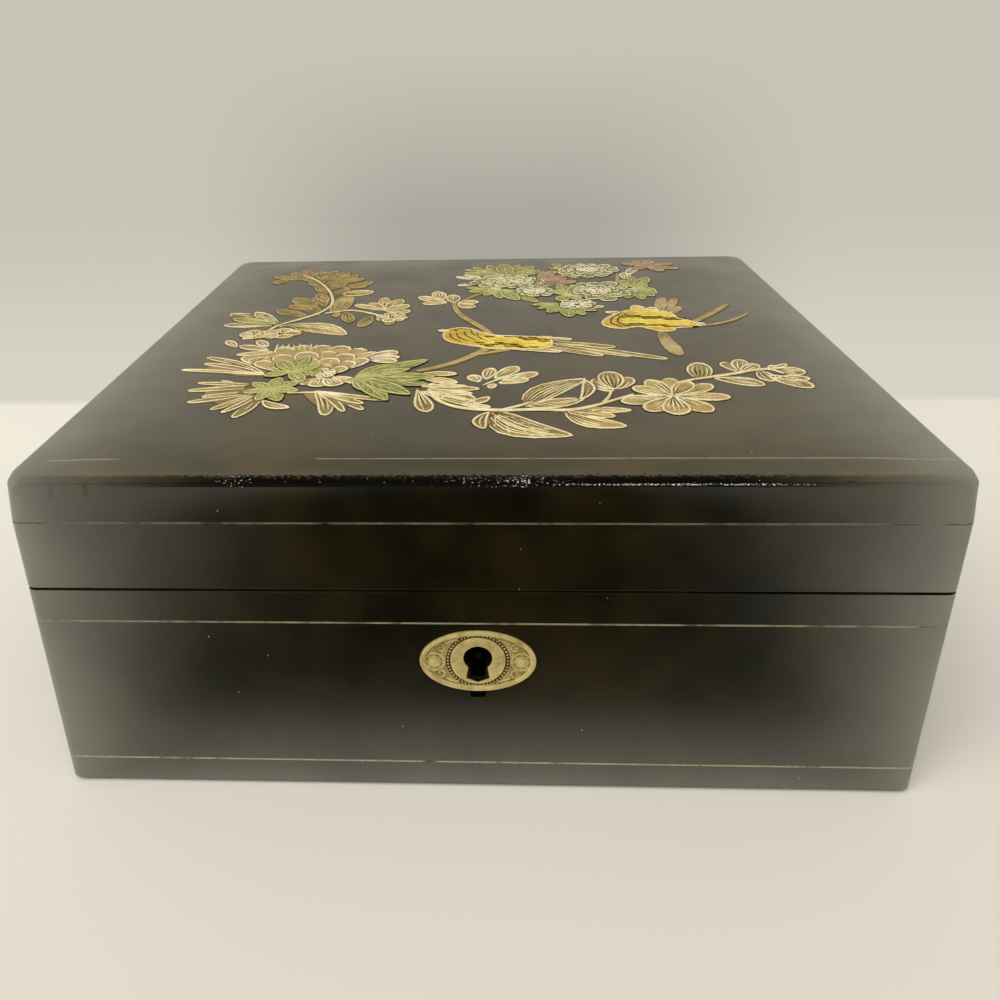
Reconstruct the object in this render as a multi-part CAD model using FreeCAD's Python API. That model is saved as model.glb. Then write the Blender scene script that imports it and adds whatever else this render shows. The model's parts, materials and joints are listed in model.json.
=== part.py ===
import FreeCAD, Part
import math
import os

# Black lacquered box with a hinged lid, a box lock and a secret drawer in its right side.
# Millimetres. X points right, Y points back, Z points up.
# The origin is on the table under the middle of the box.

point = FreeCAD.Vector
right = point(1, 0, 0)
back = point(0, 1, 0)
up = point(0, 0, 1)
down = point(0, 0, -1)

overrun = 2.0            # how far every cutter passes the face that it cuts
nearly = 0.001           # two heights closer than this are the same

# The closed box
box_width = 240.0
box_depth = 256.0
seam_gap = 0.3           # joint between base and lid
wall = 12.0              # the eight upright walls
bottom_thickness = 9.3   # its top edge is the lower gilt line
lid_wall_height = 19.45
lid_thickness = 12.0     # its lower edge is the lid's gilt line
corner_radius = 3.0      # upright corners
rim_radius = 2.2         # rounded edge round the lid's top
seam_edge_radius = 0.5
foot_chamfer = 1.6

# The shallow cushion of the lid's top
crown_rise = 1.5
crown_ledge = 2.6        # flat edge outside the cushion
crown_margin = 26.0      # width of the curved margin

# Incised lines that hold the gilding
line_width = 0.5
line_depth = 0.3
base_line_drop = 9.65    # below the base's top edge
top_line_inset = 11.8    # from the front face
top_line_end = 5.0       # short of each side face

# Lining of velvet on card
lining_thickness = 1.5
lining_gap = 0.2
lining_drop = 3.0        # top edge of the base lining under the base's edge
lid_lining_drop = 1.0    # lower edge of the lid lining above the lid's edge

# Drawer chamber between the bottom board and the dust board
chamber_height = 20.0
guide_width = 21.0       # the chamber lies between two guides
dust_board_thickness = 3.0

# Secret drawer
drawer_gap = 0.25        # joint round the drawer front, and its running gap below
drawer_side_gap = 0.3
drawer_back_room = 16.0  # left wall to the drawer, for the spring
drawer_side_thickness = 5.0
drawer_back_thickness = 8.0
drawer_bottom_thickness = 3.0
drawer_back_drop = 0.5   # below the dust board
drawer_lining_thickness = 1.0
drawer_hold = 62.0       # length that stays inside when the drawer is out
stop_length = 12.0
stop_width = 60.0
stop_depth = 1.6         # hangs below the dust board
stop_over_side = 0.5     # clear of the drawer's sides
stop_gap = 0.3

# Brass pin that locks the drawer from inside the compartment
release_inset = 9.7      # from the end of the drawer's back
release_radius = 1.5
release_travel = 7.0
release_tip_gap = 0.35   # lifted tip above the drawer's back
release_socket_ease = 0.3
knob_radius = 3.6
knob_height = 3.0
knob_edge_radius = 1.0
bush_radius = 3.0
bush_flange_radius = 4.8
bush_flange_thickness = 1.0
running_clearance = 0.05

# Bow spring that pushes the drawer out
ejector_flat = 24.0
ejector_arm = 48.0
ejector_strip = 0.6
ejector_edge_gap = 4.0   # above and below the strip
ejector_touch_gap = 0.3
ejector_screw_spread = 14.0

# Hinges
lid_opening = 95.0       # degrees
bevel_ease = 0.5         # degrees more on each bevelled back edge
hinge_axis_inset = 4.0   # axis in from the back face
hinge_end_inset = 45.0   # side face to the hinge's middle
hinge_length = 38.0
knuckle_count = 5
knuckle_radius = 2.4
knuckle_gap = 0.15
hinge_pin_radius = 1.15
leaf_thickness = 1.2
leaf_reach = 7.2         # axis to the leaf's inner edge
leaf_clearance = 0.15
leaf_screw_shares = (-1 / 3, 0.0, 1 / 3)

# Small countersunk brass screws
screw_head_radius = 1.8
screw_shank_radius = 1.0
screw_length = 8.0
screw_point_share = 0.25
screw_slot_width = 0.5
screw_slot_depth = 0.4
screw_clearance = 0.05

# Box lock, let into the front wall from inside
lock_centre = -0.9       # X of the keyhole
compartment_under_lock = 2.55
key_over_lock_foot = 8.75
lock_plate_thickness = 1.5
selvedge_width = 9.3
lock_case_width = 50.0
lock_flange = 6.0        # plate beyond the case at each end
lock_case_room = 5.6     # inside depth of the case
lock_case_wall = 1.0
lock_fit = 0.2           # mortise round the case and the plate
lock_screw_drop = 5.5    # upper row below the base's edge
lock_screw_rise = 5.0    # lower row above the plate's foot
key_pin_radius = 1.0
key_pin_end_gap = 1.0    # short of the front face

# Lock bolt with two prongs
bolt_travel = 5.0
bolt_tail = 9.3          # past the second prong's neck
bolt_height = 6.0
bolt_side_play = 0.3
key_bit_reach = 7.5      # centre of the key to the tip of its bit
talon_bite = 2.0         # how far the bit's tip passes the bolt's underside
talon_width = 5.0
talon_ease = 0.6
prong_thickness = 2.2
prong_rise = 3.65        # over the bolt's top
prong_height = 2.4
prong_top_gap = 1.2      # under the selvedge
prong_neck = 2.2
prong_gap = 0.8          # tip to loop with the bolt drawn back
prong_stop_gap = 0.4     # neck to loop with the bolt shot
lock_spring_strip = 0.5
lock_spring_contact = 11.0   # from the keyhole's middle
lock_spring_rise = 5.4
lock_spring_gap = 0.2

# Link plate in the lid, with two loops
link_length = 52.0
link_width = 8.4
link_thickness = 1.5
link_screw_spread = 40.0
loop_spread = 20.0
loop_thickness = 2.0
loop_width = 4.8
loop_bar = 1.2
eye_ease = 0.4
loop_slot_ease = 0.4

# Oval brass escutcheon and its two pins
escutcheon_length = 31.1
escutcheon_height = 19.2
escutcheon_drop = 0.8    # its middle below the key's centre
escutcheon_plate = 0.7
escutcheon_proud = 1.4
escutcheon_rim = 1.5
escutcheon_rim_radius = 0.45
boss_radius = 7.85
boss_rise = 0.3
escutcheon_pin_spread = 23.2
escutcheon_pin_drop = 1.1
escutcheon_pin_radius = 0.6
escutcheon_pin_end_gap = 0.3   # short of the lock's mortise
pin_head_radius = 1.3
pin_head_rise = 0.6

# Keyhole through the brass and the wood
keyhole_radius = 3.85
keyhole_neck = 5.0
keyhole_neck_drop = 2.5
keyhole_foot = 6.3
keyhole_foot_drop = 6.4
keyhole_tip_drop = 7.7
wood_slot_width = 4.1
wood_slot_drop = 13.1
case_slot_width = 3.4
case_slot_drop = 7.6

# Planes and places that follow from the sizes above
half_width = box_width / 2
half_depth = box_depth / 2
inner_half_width = half_width - wall
inner_half_depth = half_depth - wall
chamber_width = 2 * (inner_half_depth - guide_width)
chamber_top = bottom_thickness + chamber_height
floor_low = chamber_top + dust_board_thickness
floor_top = floor_low + lining_thickness
lock_low = floor_top + compartment_under_lock
key_height = lock_low + key_over_lock_foot
bolt_low = key_height + key_bit_reach - talon_bite
bolt_top = bolt_low + bolt_height
prong_low = bolt_top + prong_rise
prong_top = prong_low + prong_height
selvedge_low = prong_top + prong_top_gap
base_top = selvedge_low + lock_plate_thickness
base_line_height = base_top - base_line_drop
seam_height = base_top + seam_gap / 2
lid_low = base_top + seam_gap
lid_board_low = lid_low + lid_wall_height
rim_height = lid_board_low + lid_thickness
hinge_spread = box_width - 2 * hinge_end_inset
hinge_y = half_depth - hinge_axis_inset
bevel_angle = math.radians(lid_opening / 2 + bevel_ease)

drawer_low = bottom_thickness + drawer_gap
drawer_end = drawer_back_room - inner_half_width
drawer_back_front = drawer_end + drawer_back_thickness
drawer_travel = half_width - drawer_end - drawer_hold
drawer_half = chamber_width / 2 - drawer_side_gap
drawer_inner_half = drawer_half - drawer_side_thickness
drawer_back_top = chamber_top - drawer_back_drop
drawer_side_top = chamber_top - stop_depth - stop_over_side
drawer_floor = drawer_low + drawer_bottom_thickness
release_place_x = drawer_end + drawer_back_thickness / 2
release_place_y = drawer_inner_half - release_inset
release_tip = drawer_back_top + release_tip_gap
bush_top = floor_top + bush_flange_thickness

lock_face = -inner_half_depth
plate_front = lock_face - lock_plate_thickness
case_room_front = plate_front - lock_case_room
case_front = case_room_front - lock_case_wall
lock_middle = (plate_front + case_room_front) / 2
mortise_front = case_front - lock_fit
lock_plate_width = lock_case_width + 2 * lock_flange
eye_low = prong_low - eye_ease
loop_low = eye_low - loop_bar
escutcheon_middle = key_height - escutcheon_drop


def block(x_low, x_high, y_low, y_high, z_low, z_high):
    corner = point(x_low, y_low, z_low)
    return Part.makeBox(x_high - x_low, y_high - y_low, z_high - z_low, corner)


def level_edges(solid, height):
    level = []
    for edge in solid.Edges:
        bounds = edge.BoundBox
        if abs(bounds.ZMin - height) < nearly and abs(bounds.ZMax - height) < nearly:
            level.append(edge)
    return level


def rounded_block(width, depth, z_low, z_high, radius):
    solid = block(-width / 2, width / 2, -depth / 2, depth / 2, z_low, z_high)
    upright = [edge for edge in solid.Edges if edge.BoundBox.ZLength > nearly]
    return solid.makeFillet(radius, upright)


def prism(corners, way):
    outline = Part.makePolygon(corners + corners[:1])
    return Part.Face(outline).extrude(way)


def placed(solid, place, axis, angle):
    moved = solid.copy()
    moved.Placement = FreeCAD.Placement(place, FreeCAD.Rotation(axis, angle)).multiply(solid.Placement)
    return moved


def cut_all(solid, cutters):
    for cutter in cutters:
        solid = solid.cut(cutter)
    return solid


# Incised line all the way round the box at one height
def line_ring(height):
    low = height - line_width / 2
    high = height + line_width / 2
    outer = rounded_block(box_width + 2 * overrun, box_depth + 2 * overrun, low, high, corner_radius)
    inner = rounded_block(box_width - 2 * line_depth, box_depth - 2 * line_depth,
                          low - overrun, high + overrun, corner_radius - line_depth)
    return outer.cut(inner)


# The bevels of both back edges, which meet and stop the open lid
def back_bevel():
    run = hinge_axis_inset + overrun
    rise = run * math.tan(bevel_angle)
    start = -half_width - overrun
    corners = [point(start, hinge_y, seam_height),
               point(start, hinge_y + run, seam_height - rise),
               point(start, hinge_y + run, seam_height + rise)]
    return prism(corners, right * (box_width + 2 * overrun))


def wall_ring(z_low, z_high, rounded_height):
    ring = rounded_block(box_width, box_depth, z_low, z_high, corner_radius)
    ring = ring.makeFillet(seam_edge_radius, level_edges(ring, rounded_height))
    room = block(-inner_half_width, inner_half_width, -inner_half_depth, inner_half_depth,
                 z_low - overrun, z_high + overrun)
    ring = ring.cut(room)
    for height in (bottom_thickness, base_line_height, lid_board_low):
        ring = ring.cut(line_ring(height))
    return ring.cut(back_bevel())


corner_signs = ((1, -1), (1, 1), (-1, 1), (-1, -1))
sides = ("front", "right", "back", "left")


# One wall of a ring, cut off at both mitres
def mitred(ring, side):
    last = sides.index(side)
    ends = (corner_signs[last - 1], corner_signs[last])
    outward = overrun
    inward = -wall - overrun
    corners = []
    for (x_sign, y_sign), shift in zip(ends + ends[::-1], (outward, outward, inward, inward)):
        corners.append(point(x_sign * (half_width + shift), y_sign * (half_depth + shift), -overrun))
    return ring.common(prism(corners, up * (rim_height + 2 * overrun)))


# Countersunk screw with its head's face at the origin, pointing down
def screw_body(ease):
    head = screw_head_radius + ease
    shank = screw_shank_radius + ease
    point_length = screw_length * screw_point_share
    straight = screw_length - point_length
    body = Part.makeCone(head, shank, head - shank, point(), down)
    body = body.fuse(Part.makeCylinder(shank, straight, point(), down))
    return body.fuse(Part.makeCone(shank, ease, point_length, down * straight, down))


def screw():
    slot = block(-screw_head_radius - overrun, screw_head_radius + overrun,
                 -screw_slot_width / 2, screw_slot_width / 2, -screw_slot_depth, overrun)
    return screw_body(0.0).cut(slot).removeSplitter()


def screw_holes(places, axis, angle):
    return [placed(screw_body(screw_clearance), place, axis, angle) for place in places]


def screw_group(places, axis, angle):
    return Part.makeCompound([placed(screw(), place, axis, angle) for place in places])


# Strip that leaves the origin along X and curves up to (run, rise), square across Y
def bow(run, rise, strip, width):
    radius = (run * run + rise * rise) / (2 * rise)
    sweep = math.asin(run / radius)
    centre = point(0, -width / 2, radius)

    def on_arc(reach, turn):
        return centre + point(reach * math.sin(turn), 0, -reach * math.cos(turn))

    near = radius - strip
    edges = [Part.Arc(on_arc(radius, 0), on_arc(radius, sweep / 2), on_arc(radius, sweep)).toShape(),
             Part.LineSegment(on_arc(radius, sweep), on_arc(near, sweep)).toShape(),
             Part.Arc(on_arc(near, sweep), on_arc(near, sweep / 2), on_arc(near, 0)).toShape(),
             Part.LineSegment(on_arc(near, 0), on_arc(radius, 0)).toShape()]
    return Part.Face(Part.Wire(edges)).extrude(back * width)


# Hinges
def hinge_middles():
    return {"left": -hinge_spread / 2, "right": hinge_spread / 2}


def leaf_screw_places(middle, height):
    row = hinge_y - (knuckle_radius + leaf_reach) / 2
    return [point(middle + share * hinge_length, row, height) for share in leaf_screw_shares]


def leaf_seat(middle, z_low):
    return block(middle - hinge_length / 2 - leaf_clearance, middle + hinge_length / 2 + leaf_clearance,
                 hinge_y - leaf_reach - leaf_clearance, hinge_y, z_low, z_low + leaf_thickness)


def barrel(middle, radius, ease):
    start = point(middle - hinge_length / 2 - ease, hinge_y, seam_height)
    return Part.makeCylinder(radius + ease, hinge_length + 2 * ease, start, right)


def hinge_leaf(middle, first_knuckle, z_low):
    start = middle - hinge_length / 2
    leaf = block(start, start + hinge_length, hinge_y - leaf_reach, hinge_y, z_low, z_low + leaf_thickness)
    station = hinge_length / knuckle_count
    for index in range(knuckle_count):
        low = start + index * station
        if index % 2 == first_knuckle:
            centre = point(low + knuckle_gap / 2, hinge_y, seam_height)
            leaf = leaf.fuse(Part.makeCylinder(knuckle_radius, station - knuckle_gap, centre, right))
        else:
            leaf = leaf.cut(block(low - knuckle_gap / 2, low + station + knuckle_gap / 2,
                                  hinge_y - knuckle_radius - leaf_clearance, hinge_y + overrun,
                                  z_low - overrun, z_low + leaf_thickness + overrun))
    bore_start = point(start - overrun, hinge_y, seam_height)
    bore_radius = hinge_pin_radius + running_clearance
    return leaf.cut(Part.makeCylinder(bore_radius, hinge_length + 2 * overrun, bore_start, right))


def base_leaf(middle):
    leaf = hinge_leaf(middle, 0, base_top - leaf_thickness)
    return cut_all(leaf, screw_holes(leaf_screw_places(middle, base_top), right, 0))


def lid_leaf(middle):
    leaf = hinge_leaf(middle, 1, lid_low)
    return cut_all(leaf, screw_holes(leaf_screw_places(middle, lid_low), right, 180))


def hinge_pieces():
    pieces = {}
    for name, middle in hinge_middles().items():
        pieces[f"hinge_{name}_base_leaf"] = base_leaf(middle)
        pieces[f"hinge_{name}_lid_leaf"] = lid_leaf(middle)
        pieces[f"hinge_{name}_pin"] = barrel(middle, hinge_pin_radius, 0.0)
        pieces[f"hinge_{name}_base_screws"] = screw_group(leaf_screw_places(middle, base_top), right, 0)
        pieces[f"hinge_{name}_lid_screws"] = screw_group(leaf_screw_places(middle, lid_low), right, 180)
    return pieces


# Keyhole shapes, cut along Y from one face to another
def keyhole_round(radius, y_front, y_back):
    start = point(lock_centre, y_front, key_height)
    return Part.makeCylinder(radius, y_back - y_front, start, back)


def key_slot(width, drop, y_front, y_back):
    return block(lock_centre - width / 2, lock_centre + width / 2, y_front, y_back,
                 key_height - drop, key_height)


def lock_screw_places():
    reach = (lock_case_width + lock_flange) / 2
    rows = (base_top - lock_screw_drop, lock_low + lock_screw_rise)
    return [point(lock_centre + sign * reach, lock_face, row) for row in rows for sign in (-1, 1)]


# Room for the lock in the front wall: case, plate and selvedge
def lock_mortise():
    case_half = lock_case_width / 2 + lock_fit
    plate_half = lock_plate_width / 2 + lock_fit
    low = lock_low - lock_fit
    inside = lock_face + overrun
    above = base_top + overrun
    case = block(lock_centre - case_half, lock_centre + case_half,
                 mortise_front, inside, low, above)
    plate = block(lock_centre - plate_half, lock_centre + plate_half, plate_front, inside, low, above)
    selvedge = block(lock_centre - plate_half, lock_centre + plate_half,
                     lock_face - selvedge_width - lock_fit, inside, selvedge_low, above)
    return case.fuse(plate).fuse(selvedge)


def escutcheon_pin_places():
    height = key_height - escutcheon_pin_drop
    return [point(lock_centre + sign * escutcheon_pin_spread / 2, -half_depth, height) for sign in (-1, 1)]


def escutcheon_pin_holes():
    radius = escutcheon_pin_radius + screw_clearance
    depth = mortise_front + half_depth + overrun
    return [Part.makeCylinder(radius, depth, place - back * overrun, back)
            for place in escutcheon_pin_places()]


# Base walls
def base_front(ring):
    front = mitred(ring, "front").cut(lock_mortise())
    front = front.cut(keyhole_round(keyhole_radius, -half_depth - overrun, case_front))
    front = front.cut(key_slot(wood_slot_width, wood_slot_drop,
                               -half_depth - overrun, mortise_front))
    front = cut_all(front, screw_holes(lock_screw_places(), right, -90))
    return cut_all(front, escutcheon_pin_holes())


def base_back(ring):
    rear = mitred(ring, "back")
    for middle in hinge_middles().values():
        rear = rear.cut(leaf_seat(middle, base_top - leaf_thickness))
        rear = rear.cut(barrel(middle, knuckle_radius, leaf_clearance))
        rear = cut_all(rear, screw_holes(leaf_screw_places(middle, base_top), right, 0))
    return rear


def base_right(ring):
    side = mitred(ring, "right")
    return side.cut(block(inner_half_width - overrun, half_width + overrun,
                          -chamber_width / 2, chamber_width / 2,
                          bottom_thickness - overrun, chamber_top))


def base_left(ring):
    return cut_all(mitred(ring, "left"), screw_holes(ejector_screw_places(), back, 90))


def bottom_board():
    board = rounded_block(box_width, box_depth, 0, bottom_thickness, corner_radius)
    board = board.makeChamfer(foot_chamfer, level_edges(board, 0))
    return board.cut(line_ring(bottom_thickness))


def drawer_guide(sign):
    faces = sorted((sign * chamber_width / 2, sign * inner_half_depth))
    return block(-inner_half_width, inner_half_width, faces[0], faces[1], bottom_thickness, chamber_top)


def release_axis(height):
    return point(release_place_x, release_place_y, height)


def dust_board():
    board = block(-inner_half_width, inner_half_width, -inner_half_depth, inner_half_depth,
                  chamber_top, floor_low)
    return board.cut(bush_hole())


def bush_hole():
    depth = floor_top - chamber_top + 2 * overrun
    return Part.makeCylinder(bush_radius + screw_clearance, depth, release_axis(chamber_top - overrun), up)


# Lining panels of the compartment
def lining_floor():
    panel = block(lining_gap - inner_half_width, inner_half_width - lining_gap,
                  lining_gap - inner_half_depth, inner_half_depth - lining_gap, floor_low, floor_top)
    return panel.cut(bush_hole())


# A wall lining; the side panels run the full depth and the others stand between them
def wall_lining(side, z_low, z_high):
    if side in ("left", "right"):
        sign = 1 if side == "right" else -1
        faces = sorted((sign * inner_half_width, sign * (inner_half_width - lining_thickness)))
        return block(faces[0], faces[1], -inner_half_depth, inner_half_depth, z_low, z_high)
    sign = 1 if side == "back" else -1
    faces = sorted((sign * inner_half_depth, sign * (inner_half_depth - lining_thickness)))
    half = inner_half_width - lining_thickness
    return block(-half, half, faces[0], faces[1], z_low, z_high)


def lining_pieces():
    pieces = {"lining_floor": lining_floor()}
    for side in sides:
        pieces[f"lining_{side}"] = wall_lining(side, floor_top, base_top - lining_drop)
    notch_half = lock_plate_width / 2 + lock_fit
    notch = block(lock_centre - notch_half, lock_centre + notch_half,
                  lock_face - overrun, lock_face + lining_thickness + overrun,
                  lock_low - lock_fit, base_top)
    pieces["lining_front"] = pieces["lining_front"].cut(notch)
    return pieces


def lid_lining_pieces():
    ceiling = lid_board_low - lining_thickness
    pieces = {"lid_lining_top": block(-inner_half_width, inner_half_width,
                                      -inner_half_depth, inner_half_depth, ceiling, lid_board_low)}
    for side in sides:
        pieces[f"lid_lining_{side}"] = wall_lining(side, lid_low + lid_lining_drop, ceiling)
    return pieces


# Lid
def crown_curve_radius():
    return (crown_margin ** 2 + crown_rise ** 2) / (2 * crown_rise)


# Rise and slope of the lid's top at a distance in from the face
def crown_at(inset):
    to_field = crown_ledge + crown_margin - inset
    radius = crown_curve_radius()
    slope = math.asin(to_field / radius)
    return rim_height + crown_rise - radius * (1 - math.cos(slope)), slope


# Section of the cushion across one direction, at gives a point from a place across and a height
def crown_section(half, at):
    edge = half - crown_ledge
    field = edge - crown_margin
    radius = crown_curve_radius()
    sweep = math.asin(crown_margin / radius)
    centre_height = rim_height + crown_rise - radius
    low = rim_height - lid_thickness / 2

    def on_arc(sign, turn):
        return at(sign * (field + radius * math.sin(turn)), centre_height + radius * math.cos(turn))

    edges = [Part.LineSegment(at(-edge, low), on_arc(-1, sweep)).toShape(),
             Part.Arc(on_arc(-1, sweep), on_arc(-1, sweep / 2), on_arc(-1, 0)).toShape(),
             Part.LineSegment(on_arc(-1, 0), on_arc(1, 0)).toShape(),
             Part.Arc(on_arc(1, 0), on_arc(1, sweep / 2), on_arc(1, sweep)).toShape(),
             Part.LineSegment(on_arc(1, sweep), at(edge, low)).toShape(),
             Part.LineSegment(at(edge, low), at(-edge, low)).toShape()]
    return Part.Face(Part.Wire(edges))


def crown():
    across = crown_section(half_width, lambda x, z: point(x, -half_depth, z)).extrude(back * box_depth)
    along = crown_section(half_depth, lambda y, z: point(-half_width, y, z)).extrude(right * box_width)
    return across.common(along)


def top_line():
    height, slope = crown_at(top_line_inset)
    half = half_width - top_line_end
    cutter = block(-half, half, -line_width / 2, line_width / 2, -line_depth, overrun)
    return placed(cutter, point(0, top_line_inset - half_depth, height), right, math.degrees(slope))


def lid_board():
    board = rounded_block(box_width, box_depth, lid_board_low, rim_height, corner_radius)
    board = board.makeFillet(rim_radius, level_edges(board, rim_height))
    board = board.fuse(crown()).removeSplitter()
    return board.cut(line_ring(lid_board_low)).cut(top_line())


def lid_front(ring):
    front = mitred(ring, "front").cut(link_seat())
    return cut_all(front, screw_holes(link_screw_places(), right, 180))


def lid_back(ring):
    rear = mitred(ring, "back")
    for middle in hinge_middles().values():
        rear = rear.cut(leaf_seat(middle, lid_low))
        rear = rear.cut(barrel(middle, knuckle_radius, leaf_clearance))
        rear = cut_all(rear, screw_holes(leaf_screw_places(middle, lid_low), right, 180))
    return rear


# Link plate with its two loops
def loop_middles():
    return [lock_centre - loop_spread / 2, lock_centre + loop_spread / 2]


def link_screw_places():
    return [point(lock_centre + sign * link_screw_spread / 2, lock_middle, lid_low) for sign in (-1, 1)]


def link_block(length, width):
    return block(lock_centre - length / 2, lock_centre + length / 2,
                 lock_middle - width / 2, lock_middle + width / 2, lid_low, lid_low + link_thickness)


def link_seat():
    return link_block(link_length + 2 * lock_fit, link_width + 2 * lock_fit)


def link_plate():
    plate = link_block(link_length, link_width)
    eye_half = prong_thickness / 2 + eye_ease
    for middle in loop_middles():
        loop = block(middle - loop_thickness / 2, middle + loop_thickness / 2,
                     lock_middle - loop_width / 2, lock_middle + loop_width / 2, loop_low, lid_low)
        eye = block(middle - loop_thickness, middle + loop_thickness,
                    lock_middle - eye_half, lock_middle + eye_half, eye_low, prong_top + eye_ease)
        plate = plate.fuse(loop.cut(eye))
    return cut_all(plate.removeSplitter(), screw_holes(link_screw_places(), right, 180))


# Lock
def lock_plate():
    half = lock_plate_width / 2
    plate = block(lock_centre - half, lock_centre + half, plate_front, lock_face, lock_low, base_top)
    selvedge = block(lock_centre - half, lock_centre + half,
                     lock_face - selvedge_width, lock_face, selvedge_low, base_top)
    plate = plate.fuse(selvedge).removeSplitter()
    for middle in loop_middles():
        half_x = loop_thickness / 2 + loop_slot_ease
        half_y = loop_width / 2 + loop_slot_ease
        slot = block(middle - half_x, middle + half_x, lock_middle - half_y, lock_middle + half_y,
                     selvedge_low - overrun, base_top + overrun)
        plate = plate.cut(slot)
    return cut_all(plate, screw_holes(lock_screw_places(), right, -90))


def lock_case():
    half = lock_case_width / 2
    case = block(lock_centre - half, lock_centre + half, case_front, plate_front, lock_low, selvedge_low)
    room_half = half - lock_case_wall
    room = block(lock_centre - room_half, lock_centre + room_half, case_room_front, plate_front + overrun,
                 lock_low + lock_case_wall, selvedge_low + overrun)
    case = case.cut(room)
    case = case.cut(keyhole_round(case_slot_width / 2 + key_pin_radius, case_front - overrun,
                                  case_room_front + overrun))
    return case.cut(key_slot(case_slot_width, case_slot_drop, case_front - overrun,
                             case_room_front + overrun))


def lock_key_pin():
    start = -half_depth + key_pin_end_gap
    return keyhole_round(key_pin_radius, start, plate_front)


def lock_bolt():
    neck_shift = loop_thickness / 2 + bolt_travel + prong_stop_gap + prong_neck
    start = loop_middles()[0] - neck_shift
    half = lock_case_room / 2 - bolt_side_play
    end = start + loop_spread + prong_neck + bolt_tail
    bolt = block(start, end, lock_middle - half, lock_middle + half, bolt_low, bolt_top)
    talon_start = lock_centre - bolt_travel / 2 - talon_width / 2
    bolt = bolt.cut(block(talon_start, talon_start + talon_width,
                          lock_middle - lock_case_room, lock_middle + lock_case_room,
                          bolt_low - overrun, bolt_low + talon_bite + talon_ease))
    half = prong_thickness / 2
    for loop in loop_middles():
        neck = loop - neck_shift
        tip = loop - loop_thickness / 2 - prong_gap
        bolt = bolt.fuse(block(neck, neck + prong_neck, lock_middle - half, lock_middle + half,
                               bolt_top, prong_top))
        bolt = bolt.fuse(block(neck, tip, lock_middle - half, lock_middle + half, prong_low, prong_top))
    return bolt.removeSplitter()


def lock_spring():
    width = lock_case_room - 2 * bolt_side_play
    run = lock_case_width / 2 - lock_case_wall - lock_spring_contact
    strip = bow(run, lock_spring_rise, lock_spring_strip, width)
    place = point(lock_centre + lock_spring_contact, lock_middle, bolt_low - lock_spring_gap)
    return placed(strip, place, right, 180)


def lock_pieces():
    return {"lock_plate": lock_plate(),
            "lock_case": lock_case(),
            "lock_key_pin": lock_key_pin(),
            "lock_bolt": lock_bolt(),
            "lock_spring": lock_spring(),
            "lock_screws": screw_group(lock_screw_places(), right, -90),
            "link_plate": link_plate(),
            "link_screws": screw_group(link_screw_places(), right, 180),
            "escutcheon": escutcheon(),
            "escutcheon_pins": escutcheon_pins()}


# Oval disc that stands out from the front face
def oval(length, height, y_back, thickness):
    outline = Part.Ellipse(point(), length / 2, height / 2).toShape()
    disc = Part.Face(Part.Wire([outline])).extrude(up * thickness)
    return placed(disc, point(lock_centre, y_back, escutcheon_middle), right, 90)


def keyhole_foot_block(y_front, y_back):
    corners = [point(lock_centre + share_x, y_front, key_height - drop)
               for share_x, drop in ((-keyhole_neck / 2, 0.0), (-keyhole_neck / 2, keyhole_neck_drop),
                                     (-keyhole_foot / 2, keyhole_foot_drop), (0.0, keyhole_tip_drop),
                                     (keyhole_foot / 2, keyhole_foot_drop),
                                     (keyhole_neck / 2, keyhole_neck_drop), (keyhole_neck / 2, 0.0))]
    return prism(corners, back * (y_back - y_front))


def escutcheon():
    face = -half_depth
    front = face - escutcheon_proud
    body = oval(escutcheon_length, escutcheon_height, face, escutcheon_proud)
    rolled = [edge for edge in body.Edges if edge.BoundBox.YMax < front + nearly]
    body = body.makeFillet(escutcheon_rim_radius, rolled)
    field = oval(escutcheon_length - 2 * escutcheon_rim, escutcheon_height - 2 * escutcheon_rim,
                 face - escutcheon_plate, escutcheon_proud)
    body = body.cut(field)
    body = body.fuse(keyhole_round_boss(face))
    body = body.cut(keyhole_round(keyhole_radius, front - overrun, face + overrun))
    body = body.cut(keyhole_foot_block(front - overrun, face + overrun))
    return cut_all(body, escutcheon_pin_holes())


def keyhole_round_boss(face):
    start = point(lock_centre, face - escutcheon_plate - boss_rise, escutcheon_middle)
    return Part.makeCylinder(boss_radius, boss_rise + escutcheon_plate / 2, start, back)


def escutcheon_pins():
    pins = []
    for place in escutcheon_pin_places():
        seat = place - back * escutcheon_plate
        length = mortise_front - escutcheon_pin_end_gap - seat.y
        shank = Part.makeCylinder(escutcheon_pin_radius, length, seat, back)
        ball_radius = (pin_head_radius ** 2 + pin_head_rise ** 2) / (2 * pin_head_rise)
        ball = Part.makeSphere(ball_radius, seat + back * (ball_radius - pin_head_rise))
        head = ball.common(Part.makeCylinder(ball_radius, ball_radius, seat, -back))
        pins.append(shank.fuse(head).removeSplitter())
    return Part.makeCompound(pins)


# Drawer
def drawer_front():
    return block(inner_half_width, half_width, drawer_gap - chamber_width / 2,
                 chamber_width / 2 - drawer_gap, drawer_low, chamber_top - drawer_gap)


def drawer_side(sign):
    faces = sorted((sign * drawer_half, sign * drawer_inner_half))
    return block(drawer_end, inner_half_width, faces[0], faces[1], drawer_low, drawer_side_top)


def drawer_back():
    board = block(drawer_end, drawer_back_front, -drawer_inner_half, drawer_inner_half,
                  drawer_low, drawer_back_top)
    start = point(release_place_x, release_place_y, release_tip - release_travel - release_socket_ease)
    return board.cut(Part.makeCylinder(release_radius + release_socket_ease, chamber_height, start, up))


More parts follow.
